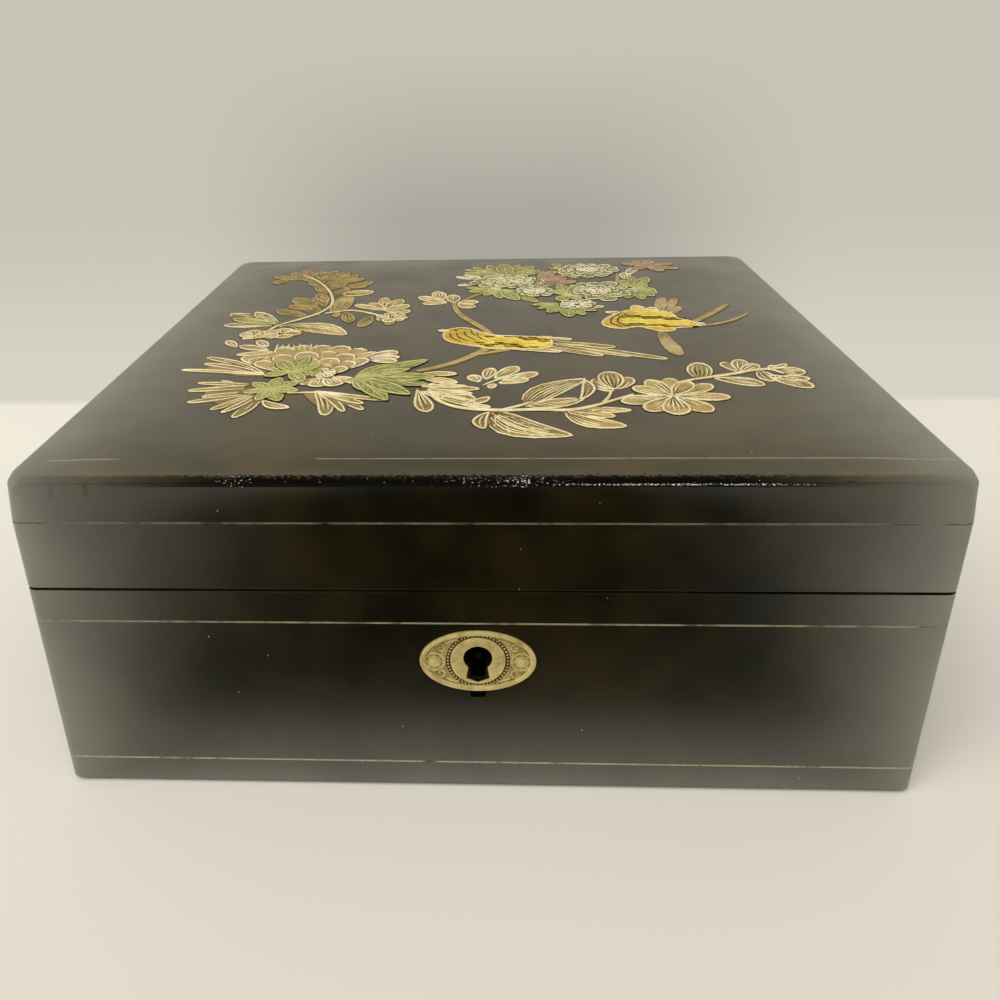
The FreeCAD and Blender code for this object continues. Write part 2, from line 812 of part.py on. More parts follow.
def drawer_pieces():
    return {"drawer_front": drawer_front(),
            "drawer_side_front": drawer_side(-1),
            "drawer_side_back": drawer_side(1),
            "drawer_back": drawer_back(),
            "drawer_bottom": block(drawer_back_front, inner_half_width, -drawer_inner_half,
                                   drawer_inner_half, drawer_low, drawer_floor),
            "drawer_lining": block(drawer_back_front, inner_half_width, -drawer_inner_half,
                                   drawer_inner_half, drawer_floor, drawer_floor + drawer_lining_thickness)}


# Stop under the dust board, which the drawer's taller back meets
def drawer_stop():
    start = drawer_back_front + drawer_travel + stop_gap
    return block(start, start + stop_length, -stop_width / 2, stop_width / 2,
                 chamber_top - stop_depth, chamber_top)


def pin_bush():
    bush = Part.makeCylinder(bush_radius, floor_top - chamber_top, release_axis(chamber_top), up)
    flange = Part.makeCylinder(bush_flange_radius, bush_flange_thickness, release_axis(floor_top), up)
    bush = bush.fuse(flange)
    bore = Part.makeCylinder(release_radius + running_clearance, bush_top - chamber_top + 2 * overrun,
                             release_axis(chamber_top - overrun), up)
    return bush.cut(bore).removeSplitter()


# The locking pin, lifted clear of the drawer
def drawer_pin():
    knob_low = bush_top + release_travel + running_clearance
    stem = Part.makeCylinder(release_radius, knob_low - release_tip, release_axis(release_tip), up)
    knob = Part.makeCylinder(knob_radius, knob_height, release_axis(knob_low), up)
    knob = knob.makeFillet(knob_edge_radius, level_edges(knob, knob_low + knob_height))
    return stem.fuse(knob).removeSplitter()


def ejector_screw_places():
    height = (bottom_thickness + chamber_top) / 2
    face = -inner_half_width + ejector_strip
    return [point(face, sign * ejector_screw_spread / 2, height) for sign in (-1, 1)]


def ejector_spring():
    height = (bottom_thickness + chamber_top) / 2
    face = -inner_half_width
    strip_width = chamber_height - 2 * ejector_edge_gap
    flat = block(face, face + ejector_strip, -ejector_flat / 2, ejector_flat / 2,
                 height - strip_width / 2, height + strip_width / 2)
    rise = drawer_back_room - ejector_touch_gap - ejector_strip
    arm = bow(ejector_arm, rise, ejector_strip, strip_width)
    far_arm = placed(arm, point(face, ejector_flat / 2, height), right + back + up, 120)
    near_arm = far_arm.copy()
    near_arm.rotate(point(face, 0, height), right, 180)
    spring = flat.fuse(far_arm).fuse(near_arm).removeSplitter()
    return cut_all(spring, screw_holes(ejector_screw_places(), back, 90))


def base_pieces():
    ring = wall_ring(bottom_thickness, base_top, base_top)
    return {"bottom_board": bottom_board(),
            "base_front": base_front(ring),
            "base_right": base_right(ring),
            "base_back": base_back(ring),
            "base_left": base_left(ring),
            "drawer_guide_front": drawer_guide(-1),
            "drawer_guide_back": drawer_guide(1),
            "dust_board": dust_board(),
            "drawer_stop": drawer_stop(),
            "drawer_pin_bush": pin_bush(),
            "drawer_pin": drawer_pin(),
            "ejector_spring": ejector_spring(),
            "ejector_screws": screw_group(ejector_screw_places(), back, 90)}


def lid_pieces():
    ring = wall_ring(lid_low, lid_board_low, lid_low)
    return {"lid_board": lid_board(),
            "lid_front": lid_front(ring),
            "lid_right": mitred(ring, "right"),
            "lid_back": lid_back(ring),
            "lid_left": mitred(ring, "left")}


def main():
    os.makedirs("parts", exist_ok=True)
    pieces = {}
    for made in (base_pieces, lid_pieces, lining_pieces, lid_lining_pieces,
                 drawer_pieces, hinge_pieces, lock_pieces):
        pieces.update(made())
    for name, shape in pieces.items():
        shape.exportStep(f"parts/{name}.step")
    print(len(pieces), "pieces")


main()
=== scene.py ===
import json
import math
import random
from functools import partial

import bmesh
import bpy
from mathutils import Matrix, Vector, noise
from mathutils.bvhtree import BVHTree


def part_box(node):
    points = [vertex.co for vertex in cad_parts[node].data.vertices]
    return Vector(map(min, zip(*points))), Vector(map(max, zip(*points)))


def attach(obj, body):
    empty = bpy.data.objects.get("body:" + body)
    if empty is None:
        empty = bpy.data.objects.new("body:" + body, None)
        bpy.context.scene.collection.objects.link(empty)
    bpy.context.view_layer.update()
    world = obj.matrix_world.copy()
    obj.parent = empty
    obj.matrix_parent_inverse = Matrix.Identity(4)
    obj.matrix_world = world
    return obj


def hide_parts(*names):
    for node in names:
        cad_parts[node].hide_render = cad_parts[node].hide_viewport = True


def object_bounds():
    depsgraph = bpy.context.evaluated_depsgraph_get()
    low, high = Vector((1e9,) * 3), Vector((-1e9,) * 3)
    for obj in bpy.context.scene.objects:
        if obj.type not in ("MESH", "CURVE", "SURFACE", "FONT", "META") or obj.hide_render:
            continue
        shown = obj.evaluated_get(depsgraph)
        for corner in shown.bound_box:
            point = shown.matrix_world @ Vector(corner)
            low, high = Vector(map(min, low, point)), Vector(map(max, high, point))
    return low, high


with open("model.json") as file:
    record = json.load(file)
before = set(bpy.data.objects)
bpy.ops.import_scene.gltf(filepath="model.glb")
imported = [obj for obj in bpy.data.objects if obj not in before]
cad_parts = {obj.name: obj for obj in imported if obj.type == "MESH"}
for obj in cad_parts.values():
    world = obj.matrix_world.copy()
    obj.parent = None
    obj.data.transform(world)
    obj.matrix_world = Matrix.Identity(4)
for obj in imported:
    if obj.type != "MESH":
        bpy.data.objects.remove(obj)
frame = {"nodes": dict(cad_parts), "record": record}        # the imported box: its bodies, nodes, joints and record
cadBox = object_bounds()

mm = 0.001
cushionHigh = 1.5 * mm      # how far the solids' lid board swells above its rim
random.seed(7)
scene = bpy.context.scene
scene.view_settings.view_transform = "Standard"
print("frame loaded:", len(frame["nodes"]), "nodes")


# sRGB hex to the linear colour that a shader takes
def linear(hexColour):
    channels = [int(hexColour[i:i + 2], 16) / 255 for i in (1, 3, 5)]
    return [c / 12.92 if c <= 0.04045 else ((c + 0.055) / 1.055) ** 2.4 for c in channels] + [1.0]


# Fills a node's inputs: hex colours are turned linear, a node stands for its first live output, and
# outputs are linked
def fillInputs(node, inputs):
    for name, value in inputs.items():
        if isinstance(value, str):
            value = linear(value)
        if isinstance(value, bpy.types.Node):
            value = next(output for output in value.outputs if output.enabled)
        if isinstance(value, bpy.types.NodeSocket):
            node.id_data.links.new(value, node.inputs[name])
        else:
            node.inputs[name].default_value = value


# Adds one shader node with its settings and links
def addNode(tree, kind, inputs=None, **settings):
    made = tree.nodes.new("ShaderNode" + kind)
    for name, value in settings.items():
        setattr(made, name, value)
    fillInputs(made, inputs or {})
    return made


# A new material: what adds nodes to it, its shader and the position of the shaded point in metres
def startMaterial(name):
    material = bpy.data.materials.new(name)
    material.use_nodes = True
    add = partial(addNode, material.node_tree)
    return material, add, material.node_tree.nodes["Principled BSDF"], add("TexCoord").outputs["Object"]


# Turns a bmesh into a smooth-shaded object
def meshObject(name, bm, materials):
    mesh = bpy.data.meshes.new(name)
    bm.to_mesh(mesh)
    bm.free()
    for polygon in mesh.polygons:
        polygon.use_smooth = True
    piece = bpy.data.objects.new(name, mesh)
    scene.collection.objects.link(piece)
    for material in materials:
        mesh.materials.append(material)
    return piece


# Cuts a mesh, or a part of it, straight across an axis
def cutAcross(bm, axis, place, geometry=None):
    if geometry is None:
        geometry = bm.verts[:] + bm.edges[:] + bm.faces[:]
    spot, normal = Vector((0, 0, 0)), Vector((0, 0, 0))
    spot[axis], normal[axis] = place, 1.0
    bmesh.ops.bisect_plane(bm, geom=geometry, plane_co=spot, plane_no=normal)


# Camera

camera = {
    "place": (3.536, -337.17, 193.43),   # mm, fitted to the box's edges and lines in the photograph
    "pitch": 25.916, "yaw": 3.298, "roll": -1.412,   # degrees
    "lens": 34.218, "sensor": 36.0, "shift": 0.0546,
}


def buildCamera():
    eye = bpy.data.objects.new("camera", bpy.data.cameras.new("camera"))
    eye.data.sensor_width = camera["sensor"]
    eye.data.lens = camera["lens"]
    eye.data.shift_x = camera["shift"]
    eye.data.clip_start = 10 * mm
    turn = Matrix.Rotation(math.radians(camera["yaw"]), 4, "Z")
    turn @= Matrix.Rotation(math.radians(90 - camera["pitch"]), 4, "X")
    turn @= Matrix.Rotation(math.radians(camera["roll"]), 4, "Z")
    eye.matrix_world = Matrix.Translation(Vector(camera["place"]) * mm) @ turn
    scene.collection.objects.link(eye)
    scene.camera = eye


# Floor, backdrop, light and the black card that the front reflects

studio = {
    "floorSize": 40.0, "floorColour": "#e6e2d8", "mottle": 0.03,
    "floorRun": (-0.22, 0.12), "floorTone": (0.92, 1.19),         # m from the middle, and the tone there: painted light, paler towards the back
    "wallColour": "#c8c4b8", "wallPaintedLight": "#d7d3c7", "wallPaintedShadow": "#aaa79c",
    "sweepStart": 186.0, "sweepEnd": 202.0,       # mm behind the middle, where the backdrop begins
    "lowFrom": 0.75, "lowTo": 1.8,                # 1/m, nearness over which the backdrop turns lighter: painted light
    "middleFrom": 0.02, "middleTo": 0.85,         # 1/m, nearness over which its middle turns darker: a painted shadow
    "middleBearing": 0.005, "middleHalf": 0.35, "middleFull": 0.06,   # tangent of the bearing
    "skyColour": "#b6b4ae",
    "ceiling": "#0c0b09", "ceilingLow": 0.5, "ceilingHigh": 0.72,   # sine of the height where gloss sees it
    "lampColour": "#fffdf8",
    "lamps": {"softbox": ((-0.55, -1.0, 1.45), 1.4, 22.0),    # place and size in m, watts
              "right_strip": ((0.46, -1.1, 1.3), 0.5, 3.0), "left_strip": ((-0.86, -1.0, 1.2), 0.2, 0.7)},
    "cardWidth": 330.0, "cardNear": -146.0, "cardFar": -900.0,      # mm
    "cardEdge": 80.0, "cardNearEdge": 26.0,                         # mm, soft borders
    "cardColour": "#050504",
}


# 1 for what the camera and gloss see directly
def seenDirectly(add):
    path = add("LightPath")
    seen = add("Math", {0: path.outputs["Is Camera Ray"], 1: path.outputs["Is Glossy Ray"]},
               operation="ADD", use_clamp=True)
    return add("Math", {0: seen, 1: path.outputs["Is Transmission Ray"]}, operation="ADD", use_clamp=True)


def floorMaterial():
    # matt painted board, no gloss
    material, add, shader, position = startMaterial("paintedStudioFloor")
    mottle = add("TexNoise", {"Vector": position, "Scale": 3.0, "Detail": 3.0})
    tone = add("MapRange", {"Value": mottle, "To Min": -studio["mottle"], "To Max": studio["mottle"]})
    parts = add("SeparateXYZ", {0: position})
    nearPlace, farPlace = studio["floorRun"]
    nearTone, farTone = studio["floorTone"]
    # painted light: the floor's tone grows paler towards the back
    paintedLightRamp = add("MapRange", {"Value": parts.outputs["Y"], "From Min": nearPlace, "To Min": nearTone,
                             "From Max": farPlace, "To Max": farTone})
    tone = add("Math", {0: tone, 1: paintedLightRamp}, operation="ADD")
    lit = add("VectorMath", {0: linear(studio["floorColour"])[:3], "Scale": tone}, operation="SCALE")
    fillInputs(shader, {"Base Color": lit, "Roughness": 0.9, "Specular IOR Level": 0.1})
    sweep = add("MapRange", {"Value": parts.outputs["Y"], "From Min": studio["sweepStart"] * mm,
                             "From Max": studio["sweepEnd"] * mm}, interpolation_type="SMOOTHSTEP")
    # the backdrop is toned by nearness to the camera's foot and by bearing from it: painted light near its foot and
    # a painted shadow in its middle
    far = add("Math", {0: parts.outputs["Y"], 1: -camera["place"][1] * mm}, operation="ADD")
    far = add("Math", {0: far, 1: 0.05}, operation="MAXIMUM")
    nearness = add("Math", {0: 1.0, 1: far}, operation="DIVIDE")
    low = add("MapRange", {"Value": nearness, "From Min": studio["lowFrom"], "From Max": studio["lowTo"]},
              interpolation_type="SMOOTHSTEP")
    side = add("Math", {0: parts.outputs["X"], 1: camera["place"][0] * mm}, operation="SUBTRACT")
    side = add("Math", {0: side, 1: nearness}, operation="MULTIPLY")
    side = add("Math", {0: side, 1: studio["middleBearing"]}, operation="SUBTRACT")
    side = add("Math", {0: side}, operation="ABSOLUTE")
    across = add("MapRange", {"Value": side, "From Min": studio["middleHalf"],
                              "From Max": studio["middleFull"]}, interpolation_type="SMOOTHSTEP")
    deep = add("MapRange", {"Value": nearness, "From Min": studio["middleFrom"],
                            "From Max": studio["middleTo"]})
    middle = add("Math", {0: across, 1: deep}, operation="MULTIPLY")
    wall = add("Mix", {0: low, 6: studio["wallColour"], 7: studio["wallPaintedLight"]}, data_type="RGBA")
    wall = add("Mix", {0: middle, 6: wall, 7: studio["wallPaintedShadow"]}, data_type="RGBA")
    plain = add("Emission", {"Color": wall})
    share = add("Math", {0: sweep, 1: seenDirectly(add)}, operation="MULTIPLY")
    both = add("MixShader", {0: share, 1: shader, 2: plain})
    fillInputs(material.node_tree.nodes["Material Output"], {"Surface": both})
    return material


# Black card that lies before the box and shows only in its gloss, with soft edges
def cardMaterial():
    material, add, shader, position = startMaterial("blackCard")
    parts = add("SeparateXYZ", {0: position})
    across = add("Math", {0: parts.outputs["X"]}, operation="ABSOLUTE")
    half = studio["cardWidth"] / 2 * mm
    edge = studio["cardEdge"] * mm
    side = add("MapRange", {"Value": across, "From Min": half - edge, "From Max": half, "To Min": 1.0,
                            "To Max": 0.0}, interpolation_type="SMOOTHSTEP")
    near = add("MapRange", {"Value": parts.outputs["Y"],
                            "From Min": (studio["cardNear"] - studio["cardNearEdge"]) * mm,
                            "From Max": studio["cardNear"] * mm, "To Min": 1.0, "To Max": 0.0},
               interpolation_type="SMOOTHSTEP")
    cover = add("Math", {0: side, 1: near}, operation="MULTIPLY")
    fillInputs(shader, {"Alpha": cover, "Base Color": studio["cardColour"], "Roughness": 1.0,
                        "Specular IOR Level": 0.0})
    return material


# Even pale sky; the camera sees the backdrop's colour, and gloss sees a dark ceiling and a dark room
# behind the camera
def buildWorld():
    world = bpy.data.worlds.new("plainStudio")
    world.use_nodes = True
    add = partial(addNode, world.node_tree)
    way = add("SeparateXYZ", {0: add("TexCoord").outputs["Generated"]})
    high = add("MapRange", {"Value": way.outputs["Z"], "From Min": studio["ceilingLow"],
                            "From Max": studio["ceilingHigh"]}, interpolation_type="SMOOTHSTEP")
    behind = add("MapRange", {"Value": way.outputs["Y"], "From Max": -0.3}, interpolation_type="SMOOTHSTEP")
    dark = add("Math", {0: high, 1: behind}, operation="MAXIMUM")
    gloss = add("LightPath").outputs["Is Glossy Ray"]
    dark = add("Math", {0: dark, 1: gloss}, operation="MULTIPLY")
    seen = add("Mix", {0: dark, 6: studio["wallColour"], 7: studio["ceiling"]}, data_type="RGBA")
    colour = add("Mix", {0: seenDirectly(add), 6: studio["skyColour"], 7: seen}, data_type="RGBA")
    fillInputs(world.node_tree.nodes["Background"], {"Color": colour})
    scene.world = world


def buildStudio():
    bm = bmesh.new()
    bmesh.ops.create_grid(bm, x_segments=1, y_segments=1, size=studio["floorSize"] / 2)
    floor = meshObject("floor", bm, [floorMaterial()])
    bm = bmesh.new()
    made = bmesh.ops.create_grid(bm, x_segments=1, y_segments=1, size=0.5)
    depth = studio["cardNear"] - studio["cardFar"]
    bmesh.ops.scale(bm, verts=made["verts"], vec=(studio["cardWidth"] * mm, depth * mm, 1))
    middle = (studio["cardNear"] + studio["cardFar"]) / 2
    bmesh.ops.translate(bm, verts=made["verts"], vec=(0, middle * mm, 1 * mm))
    card = meshObject("black_card", bm, [cardMaterial()])
    card.visible_camera = card.visible_diffuse = card.visible_shadow = card.visible_transmission = False
    for name, (place, size, power) in studio["lamps"].items():
        lamp = bpy.data.objects.new(name, bpy.data.lights.new(name, "AREA"))
        lamp.data.size = size
        lamp.data.energy = power
        lamp.data.color = linear(studio["lampColour"])[:3]
        lamp.location = place
        lamp.rotation_euler = Vector(place).to_track_quat("Z", "Y").to_euler()
        lamp.visible_glossy = False
        scene.collection.objects.link(lamp)


buildCamera()
buildWorld()
buildStudio()
print("camera, floor and light made")


# Black lacquer: oil lacquer rubbed smooth over wood, brown where it is thin, with gilt in its incised lines, a
# painted grey sheen towards its side and bottom edges, a painted dark reflection above the front arris, and small
# chips along its arrises that are painted near-white, partly as painted glints

lacquer = {
    "black": "#0c0b02", "brown": "#221b05", "patch": 45.0,        # mm across a brown patch
    "lidBlack": "#2f2805", "lidBrown": "#453808",                 # the lid's top is a lighter, browner copy
    "blotch": 13.0, "blotchShare": 0.45,                          # mm across a smaller, fainter patch
    "thinned": (0.55, 0.95),                                      # noise where brown begins and is full
    "roughness": (0.17, 0.3), "cloud": 18.0,                      # mm across a duller cloud
    "paintedSheenRoughness": 0.5, "darkReflectionRoughness": 0.85,
    "peel": 2.6, "peelHeight": 0.02,                              # mm, brushed surface
    "paintedSheen": "#b7b7a9", "sidePaintedSheen": 0.42, "sideReach": 19.5,     # painted grey sheen, and its share and reach in mm at the side edges
    "bottomPaintedSheen": 0.3, "bottomReach": 14.5, "paintedSheenDrift": 30.0,  # mm
    "paintedSheenBlend": 0.12, "paintedSheenLess": 0.02,                        # blend of the two, and what it adds
    "paintedSheenUneven": (0.85, 1.15), "boardFrom": 3.0, "topFrom": 10.0,   # mm above the lid's walls
    "gilt": "#cdc7a6", "giltWorn": "#938c6f", "giltGrain": 1.3,   # mm
    "lineHalf": 0.26, "lineGap": 9.0, "middleLine": 55.7,
    "topLine": 116.2, "topLineRuns": ((-113, -93), (-42, 117)),   # mm, where the top line's gilt is left
    "lineKept": {"top": 0.5, "lid": 0.42, "middle": 0.75, "bottom": 1.3},
    "chipGlint": "#fbf8ec", "chipSize": (0.5, 0.27), "wearReach": 0.9, "lineWear": 0.36,   # mm; chips painted near-white, partly as painted glints
    "chipGlints": (0.985, 1.03), "runLift": 0.45,                    # noise where chips begin and are full,
    "crestLift": (0.235, -0.05), "darkReflectionLift": (0.22, -0.14),      # and what adds to it: factor and offset
    "darkReflection": "#050401", "darkReflectionReach": 5.6, "darkReflectionGrain": 0.9,     # mm, painted dark reflection band above the front arris
    "darkReflectionFull": 56.0, "darkReflectionEnd": 104.0, "darkReflectionFoot": 0.7,       # mm from the middle, mm below the arris
    "darkReflectionShare": (0.72, 0.12), "darkReflectionEdge": (0.85, 0.93),        # near and far share, noise at its edge
    "crestDrop": 1.3, "runs": 24.0,                               # mm: arris below the rim, runs of chips
    "wornGlintAt": (52.0, 46.0), "wornGlintEnd": (-112.0, 24.0),            # mm: middle, half width of worn runs of chips and painted glints
    "speck": "#c9c4b2", "speckCell": 8.0, "speckSize": 0.15,      # mm
}


# Distance inward from the box's two side planes across an axis
def insetOf(add, parts, axis, reach):
    size = add("Math", {0: parts.outputs[axis]}, operation="ABSOLUTE")
    return add("Math", {0: reach, 1: size}, operation="SUBTRACT")


# Distance of the shaded point from the nearest outer arris of the box, in metres
def arrisDistance(add, parts, heights):
    across = insetOf(add, parts, "X", cadBox[1][0])
    deep = insetOf(add, parts, "Y", cadBox[1][1])
    face = add("Math", {0: across, 1: deep}, operation="MINIMUM")
    nearest = add("Math", {0: across, 1: deep}, operation="MAXIMUM")
    for height in heights:
        away = add("Math", {0: parts.outputs["Z"], 1: height}, operation="SUBTRACT")
        level = add("Math", {0: away}, operation="ABSOLUTE")
        nearest = add("Math", {0: nearest, 1: level}, operation="MINIMUM")
    return add("Math", {0: face, 1: nearest}, operation="MAXIMUM")


# How much gilt is left in the incised lines, broken where it is rubbed off
def giltLines(add, position, parts, heights):
    half = lacquer["lineHalf"] * mm
    mask = None
    for name, height in heights.items():
        found = add("Math", {0: parts.outputs["Z"], 1: height, 2: half}, operation="COMPARE")
        found = add("Math", {0: found, 1: lacquer["lineKept"][name]}, operation="MULTIPLY")
        mask = found if mask is None else add("Math", {0: mask, 1: found}, operation="MAXIMUM")
    top = add("Math", {0: parts.outputs["Y"], 1: -lacquer["topLine"] * mm, 2: half}, operation="COMPARE")
    above = add("Math", {0: parts.outputs["Z"], 1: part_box("lid_front")[1].z + lacquer["topFrom"] * mm},
                operation="GREATER_THAN")
    top = add("Math", {0: top, 1: above}, operation="MULTIPLY")
    left = None
    for start, end in lacquer["topLineRuns"]:
        run = add("Math", {0: parts.outputs["X"], 1: (start + end) / 2 * mm, 2: (end - start) / 2 * mm},
                  operation="COMPARE")
        left = run if left is None else add("Math", {0: left, 1: run}, operation="MAXIMUM")
    left = add("Math", {0: left, 1: lacquer["lineKept"]["top"]}, operation="MULTIPLY")
    top = add("Math", {0: top, 1: left}, operation="MULTIPLY")
    mask = add("Math", {0: mask, 1: top}, operation="MAXIMUM")
    rubbed = add("TexNoise", {"Vector": position, "Scale": 1 / (lacquer["lineGap"] * mm), "Detail": 5.0,
                              "Roughness": 0.7})
    kept = add("MapRange", {"Value": rubbed, "From Min": 0.3, "From Max": 0.5})
    return add("Math", {0: mask, 1: kept}, operation="MULTIPLY", use_clamp=True)


# A share that falls off with a distance, to 1/e of itself over each reach
def fallOff(add, distance, reach, share):
    far = add("Math", {0: distance, 1: -1 / (reach * mm)}, operation="MULTIPLY")
    near = add("Math", {0: math.e, 1: far}, operation="POWER")
    return add("Math", {0: near, 1: share}, operation="MULTIPLY")


# How much painted grey sheen lies on the lacquer: most at the side edges, and near the bottom of upright faces
def paintedSheenShare(add, position, parts):
    normal = add("SeparateXYZ", {0: add("TexCoord").outputs["Normal"]})
    turned = add("Math", {0: normal.outputs["X"], 1: parts.outputs["X"]}, operation="MULTIPLY")
    turned = add("Math", {0: turned, 1: 0.75 * cadBox[1][0]}, operation="GREATER_THAN")
    level = add("Math", {0: normal.outputs["Z"]}, operation="ABSOLUTE")
    upright = add("Math", {0: level, 1: 0.5}, operation="LESS_THAN")
    across = insetOf(add, parts, "X", cadBox[1][0])
    deep = insetOf(add, parts, "Y", cadBox[1][1])
    edge = add("Mix", {0: turned, 2: across, 3: deep}, data_type="FLOAT")
    side = fallOff(add, edge, lacquer["sideReach"], lacquer["sidePaintedSheen"])
    above = add("Math", {0: parts.outputs["Z"], 1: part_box("lid_front")[1].z + lacquer["boardFrom"] * mm},
                operation="GREATER_THAN")
    # the rims that show when the lid is open stay black
    outer = add("Math", {0: upright, 1: above}, operation="MAXIMUM")
    side = add("Math", {0: side, 1: outer}, operation="MULTIPLY")
    low = fallOff(add, parts.outputs["Z"], lacquer["bottomReach"], lacquer["bottomPaintedSheen"])
    low = add("Math", {0: low, 1: upright}, operation="MULTIPLY")
    share = add("Math", {0: side, 1: low, 2: lacquer["paintedSheenBlend"]}, operation="SMOOTH_MAX")
    share = add("Math", {0: share, 1: lacquer["paintedSheenLess"]}, operation="SUBTRACT", use_clamp=True)
    drift = add("TexNoise", {"Vector": position, "Scale": 1 / (lacquer["paintedSheenDrift"] * mm), "Detail": 3.0})
    least, most = lacquer["paintedSheenUneven"]
    drift = add("MapRange", {"Value": drift, "From Min": 0.3, "From Max": 0.7, "To Min": least,
                             "To Max": most})
    return add("Math", {0: share, 1: drift}, operation="MULTIPLY", use_clamp=True)


# How far a place along the front is within a worn stretch of chips and painted glints
def wornGlintShare(add, x, place, half):
    away = add("Math", {0: x, 1: place * mm}, operation="SUBTRACT")
    away = add("Math", {0: away}, operation="ABSOLUTE")
    return add("MapRange", {"Value": away, "From Min": half * mm, "From Max": half * 0.5 * mm},
               interpolation_type="SMOOTHSTEP")


def lacquerMaterial(name, black, brown):
    material, add, shader, position = startMaterial(name)
    parts = add("SeparateXYZ", {0: position})
    patch = add("TexNoise", {"Vector": position, "Scale": 1 / (lacquer["patch"] * mm), "Detail": 6.0,
                             "Roughness": 0.62})
    blotch = add("TexNoise", {"Vector": position, "Scale": 1 / (lacquer["blotch"] * mm), "Detail": 4.0})
    uneven = add("Math", {0: blotch, 1: lacquer["blotchShare"], 2: patch}, operation="MULTIPLY_ADD")
    thin = add("MapRange", {"Value": uneven, "From Min": lacquer["thinned"][0],
                            "From Max": lacquer["thinned"][1]}, interpolation_type="SMOOTHSTEP")
    base = add("Mix", {0: thin, 6: black, 7: brown}, data_type="RGBA")
    rim = cadBox[1][2] - cushionHigh
    edges = (0.0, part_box("base_front")[1].z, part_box("lid_front")[0].z, rim)
    distance = arrisDistance(add, parts, edges)
    near = add("MapRange", {"Value": distance, "From Max": lacquer["wearReach"] * mm, "To Min": 1.0,
                            "To Max": 0.0})
    paintedSheen = paintedSheenShare(add, position, parts)
    # painted sheen: a pale grey laid over the lacquer's colour towards its side and bottom edges
    base = add("Mix", {0: paintedSheen, 6: base, 7: lacquer["paintedSheen"]}, data_type="RGBA")
    # across the front's top arris: above 0 on the lid's top, below 0 on its front
    over = add("Math", {0: parts.outputs["Y"], 1: parts.outputs["Z"]}, operation="ADD")
    crestDrop = lacquer["crestDrop"] * mm
    over = add("Math", {0: over, 1: cadBox[1][1] - rim + crestDrop}, operation="ADD")
    wornGlint = wornGlintShare(add, parts.outputs["X"], *lacquer["wornGlintAt"])
    end = wornGlintShare(add, parts.outputs["X"], *lacquer["wornGlintEnd"])
    # painted dark reflection: a near-black, rougher band above the front arris
    bandGrain = add("TexNoise", {"Vector": position, "Scale": 1 / (lacquer["darkReflectionGrain"] * mm), "Detail": 3.0})
    fade = add("MapRange", {"Value": over, "From Min": 1.0 * mm, "From Max": lacquer["darkReflectionReach"] * mm,
                            "To Min": lacquer["darkReflectionShare"][0], "To Max": lacquer["darkReflectionShare"][1]})
    sides = add("Math", {0: parts.outputs["X"]}, operation="ABSOLUTE")
    inner = add("MapRange", {"Value": sides, "From Min": lacquer["darkReflectionEnd"] * mm,
                             "From Max": lacquer["darkReflectionFull"] * mm}, interpolation_type="SMOOTHSTEP")
    under = add("Math", {0: over, 1: -lacquer["darkReflectionFoot"] * mm}, operation="GREATER_THAN")
    paintedDarkReflection = add("Math", {0: fade, 1: bandGrain}, operation="ADD")
    paintedDarkReflection = add("MapRange", {"Value": paintedDarkReflection, "From Min": lacquer["darkReflectionEdge"][0],
                             "From Max": lacquer["darkReflectionEdge"][1]})
    paintedDarkReflection = add("Math", {0: paintedDarkReflection, 1: inner}, operation="MULTIPLY")
    paintedDarkReflection = add("Math", {0: paintedDarkReflection, 1: under}, operation="MULTIPLY")
    base = add("Mix", {0: paintedDarkReflection, 6: base, 7: lacquer["darkReflection"]}, data_type="RGBA")
    long, wide = lacquer["chipSize"]
    stretched = add("Mapping", {"Vector": position, "Scale": (wide / long, 1.0, 1.0)})
    chips = add("TexNoise", {"Vector": stretched, "Scale": 1 / (wide * mm)})
    runs = add("TexNoise", {"Vector": position, "Scale": 1 / (lacquer["runs"] * mm), "Detail": 3.0})
    level = add("Math", {0: over}, operation="ABSOLUTE")
    crest = add("MapRange", {"Value": level, "From Min": lacquer["lineWear"] * mm,
                             "From Max": lacquer["lineWear"] * 0.5 * mm})
    often = add("Math", {0: wornGlint, 1: end}, operation="MAXIMUM")
    often = add("Math", {0: often, 1: lacquer["crestLift"][0], 2: lacquer["crestLift"][1]},
                operation="MULTIPLY_ADD")
    extra = add("Math", {0: crest, 1: often}, operation="MULTIPLY")
    spray = add("Math", {0: paintedDarkReflection, 1: lacquer["darkReflectionLift"][0], 2: lacquer["darkReflectionLift"][1]},
                operation="MULTIPLY_ADD")
    lift = add("Math", {0: runs, 1: lacquer["runLift"], 2: chips}, operation="MULTIPLY_ADD")
    lift = add("Math", {0: lift, 1: extra}, operation="ADD")
    lift = add("Math", {0: lift, 1: spray}, operation="ADD")
    lift = add("MapRange", {"Value": lift, "From Min": lacquer["chipGlints"][0],
                            "From Max": lacquer["chipGlints"][1]})
    close = add("Math", {0: near, 1: paintedDarkReflection}, operation="MAXIMUM")
    chipGlints = add("Math", {0: lift, 1: close}, operation="MULTIPLY")
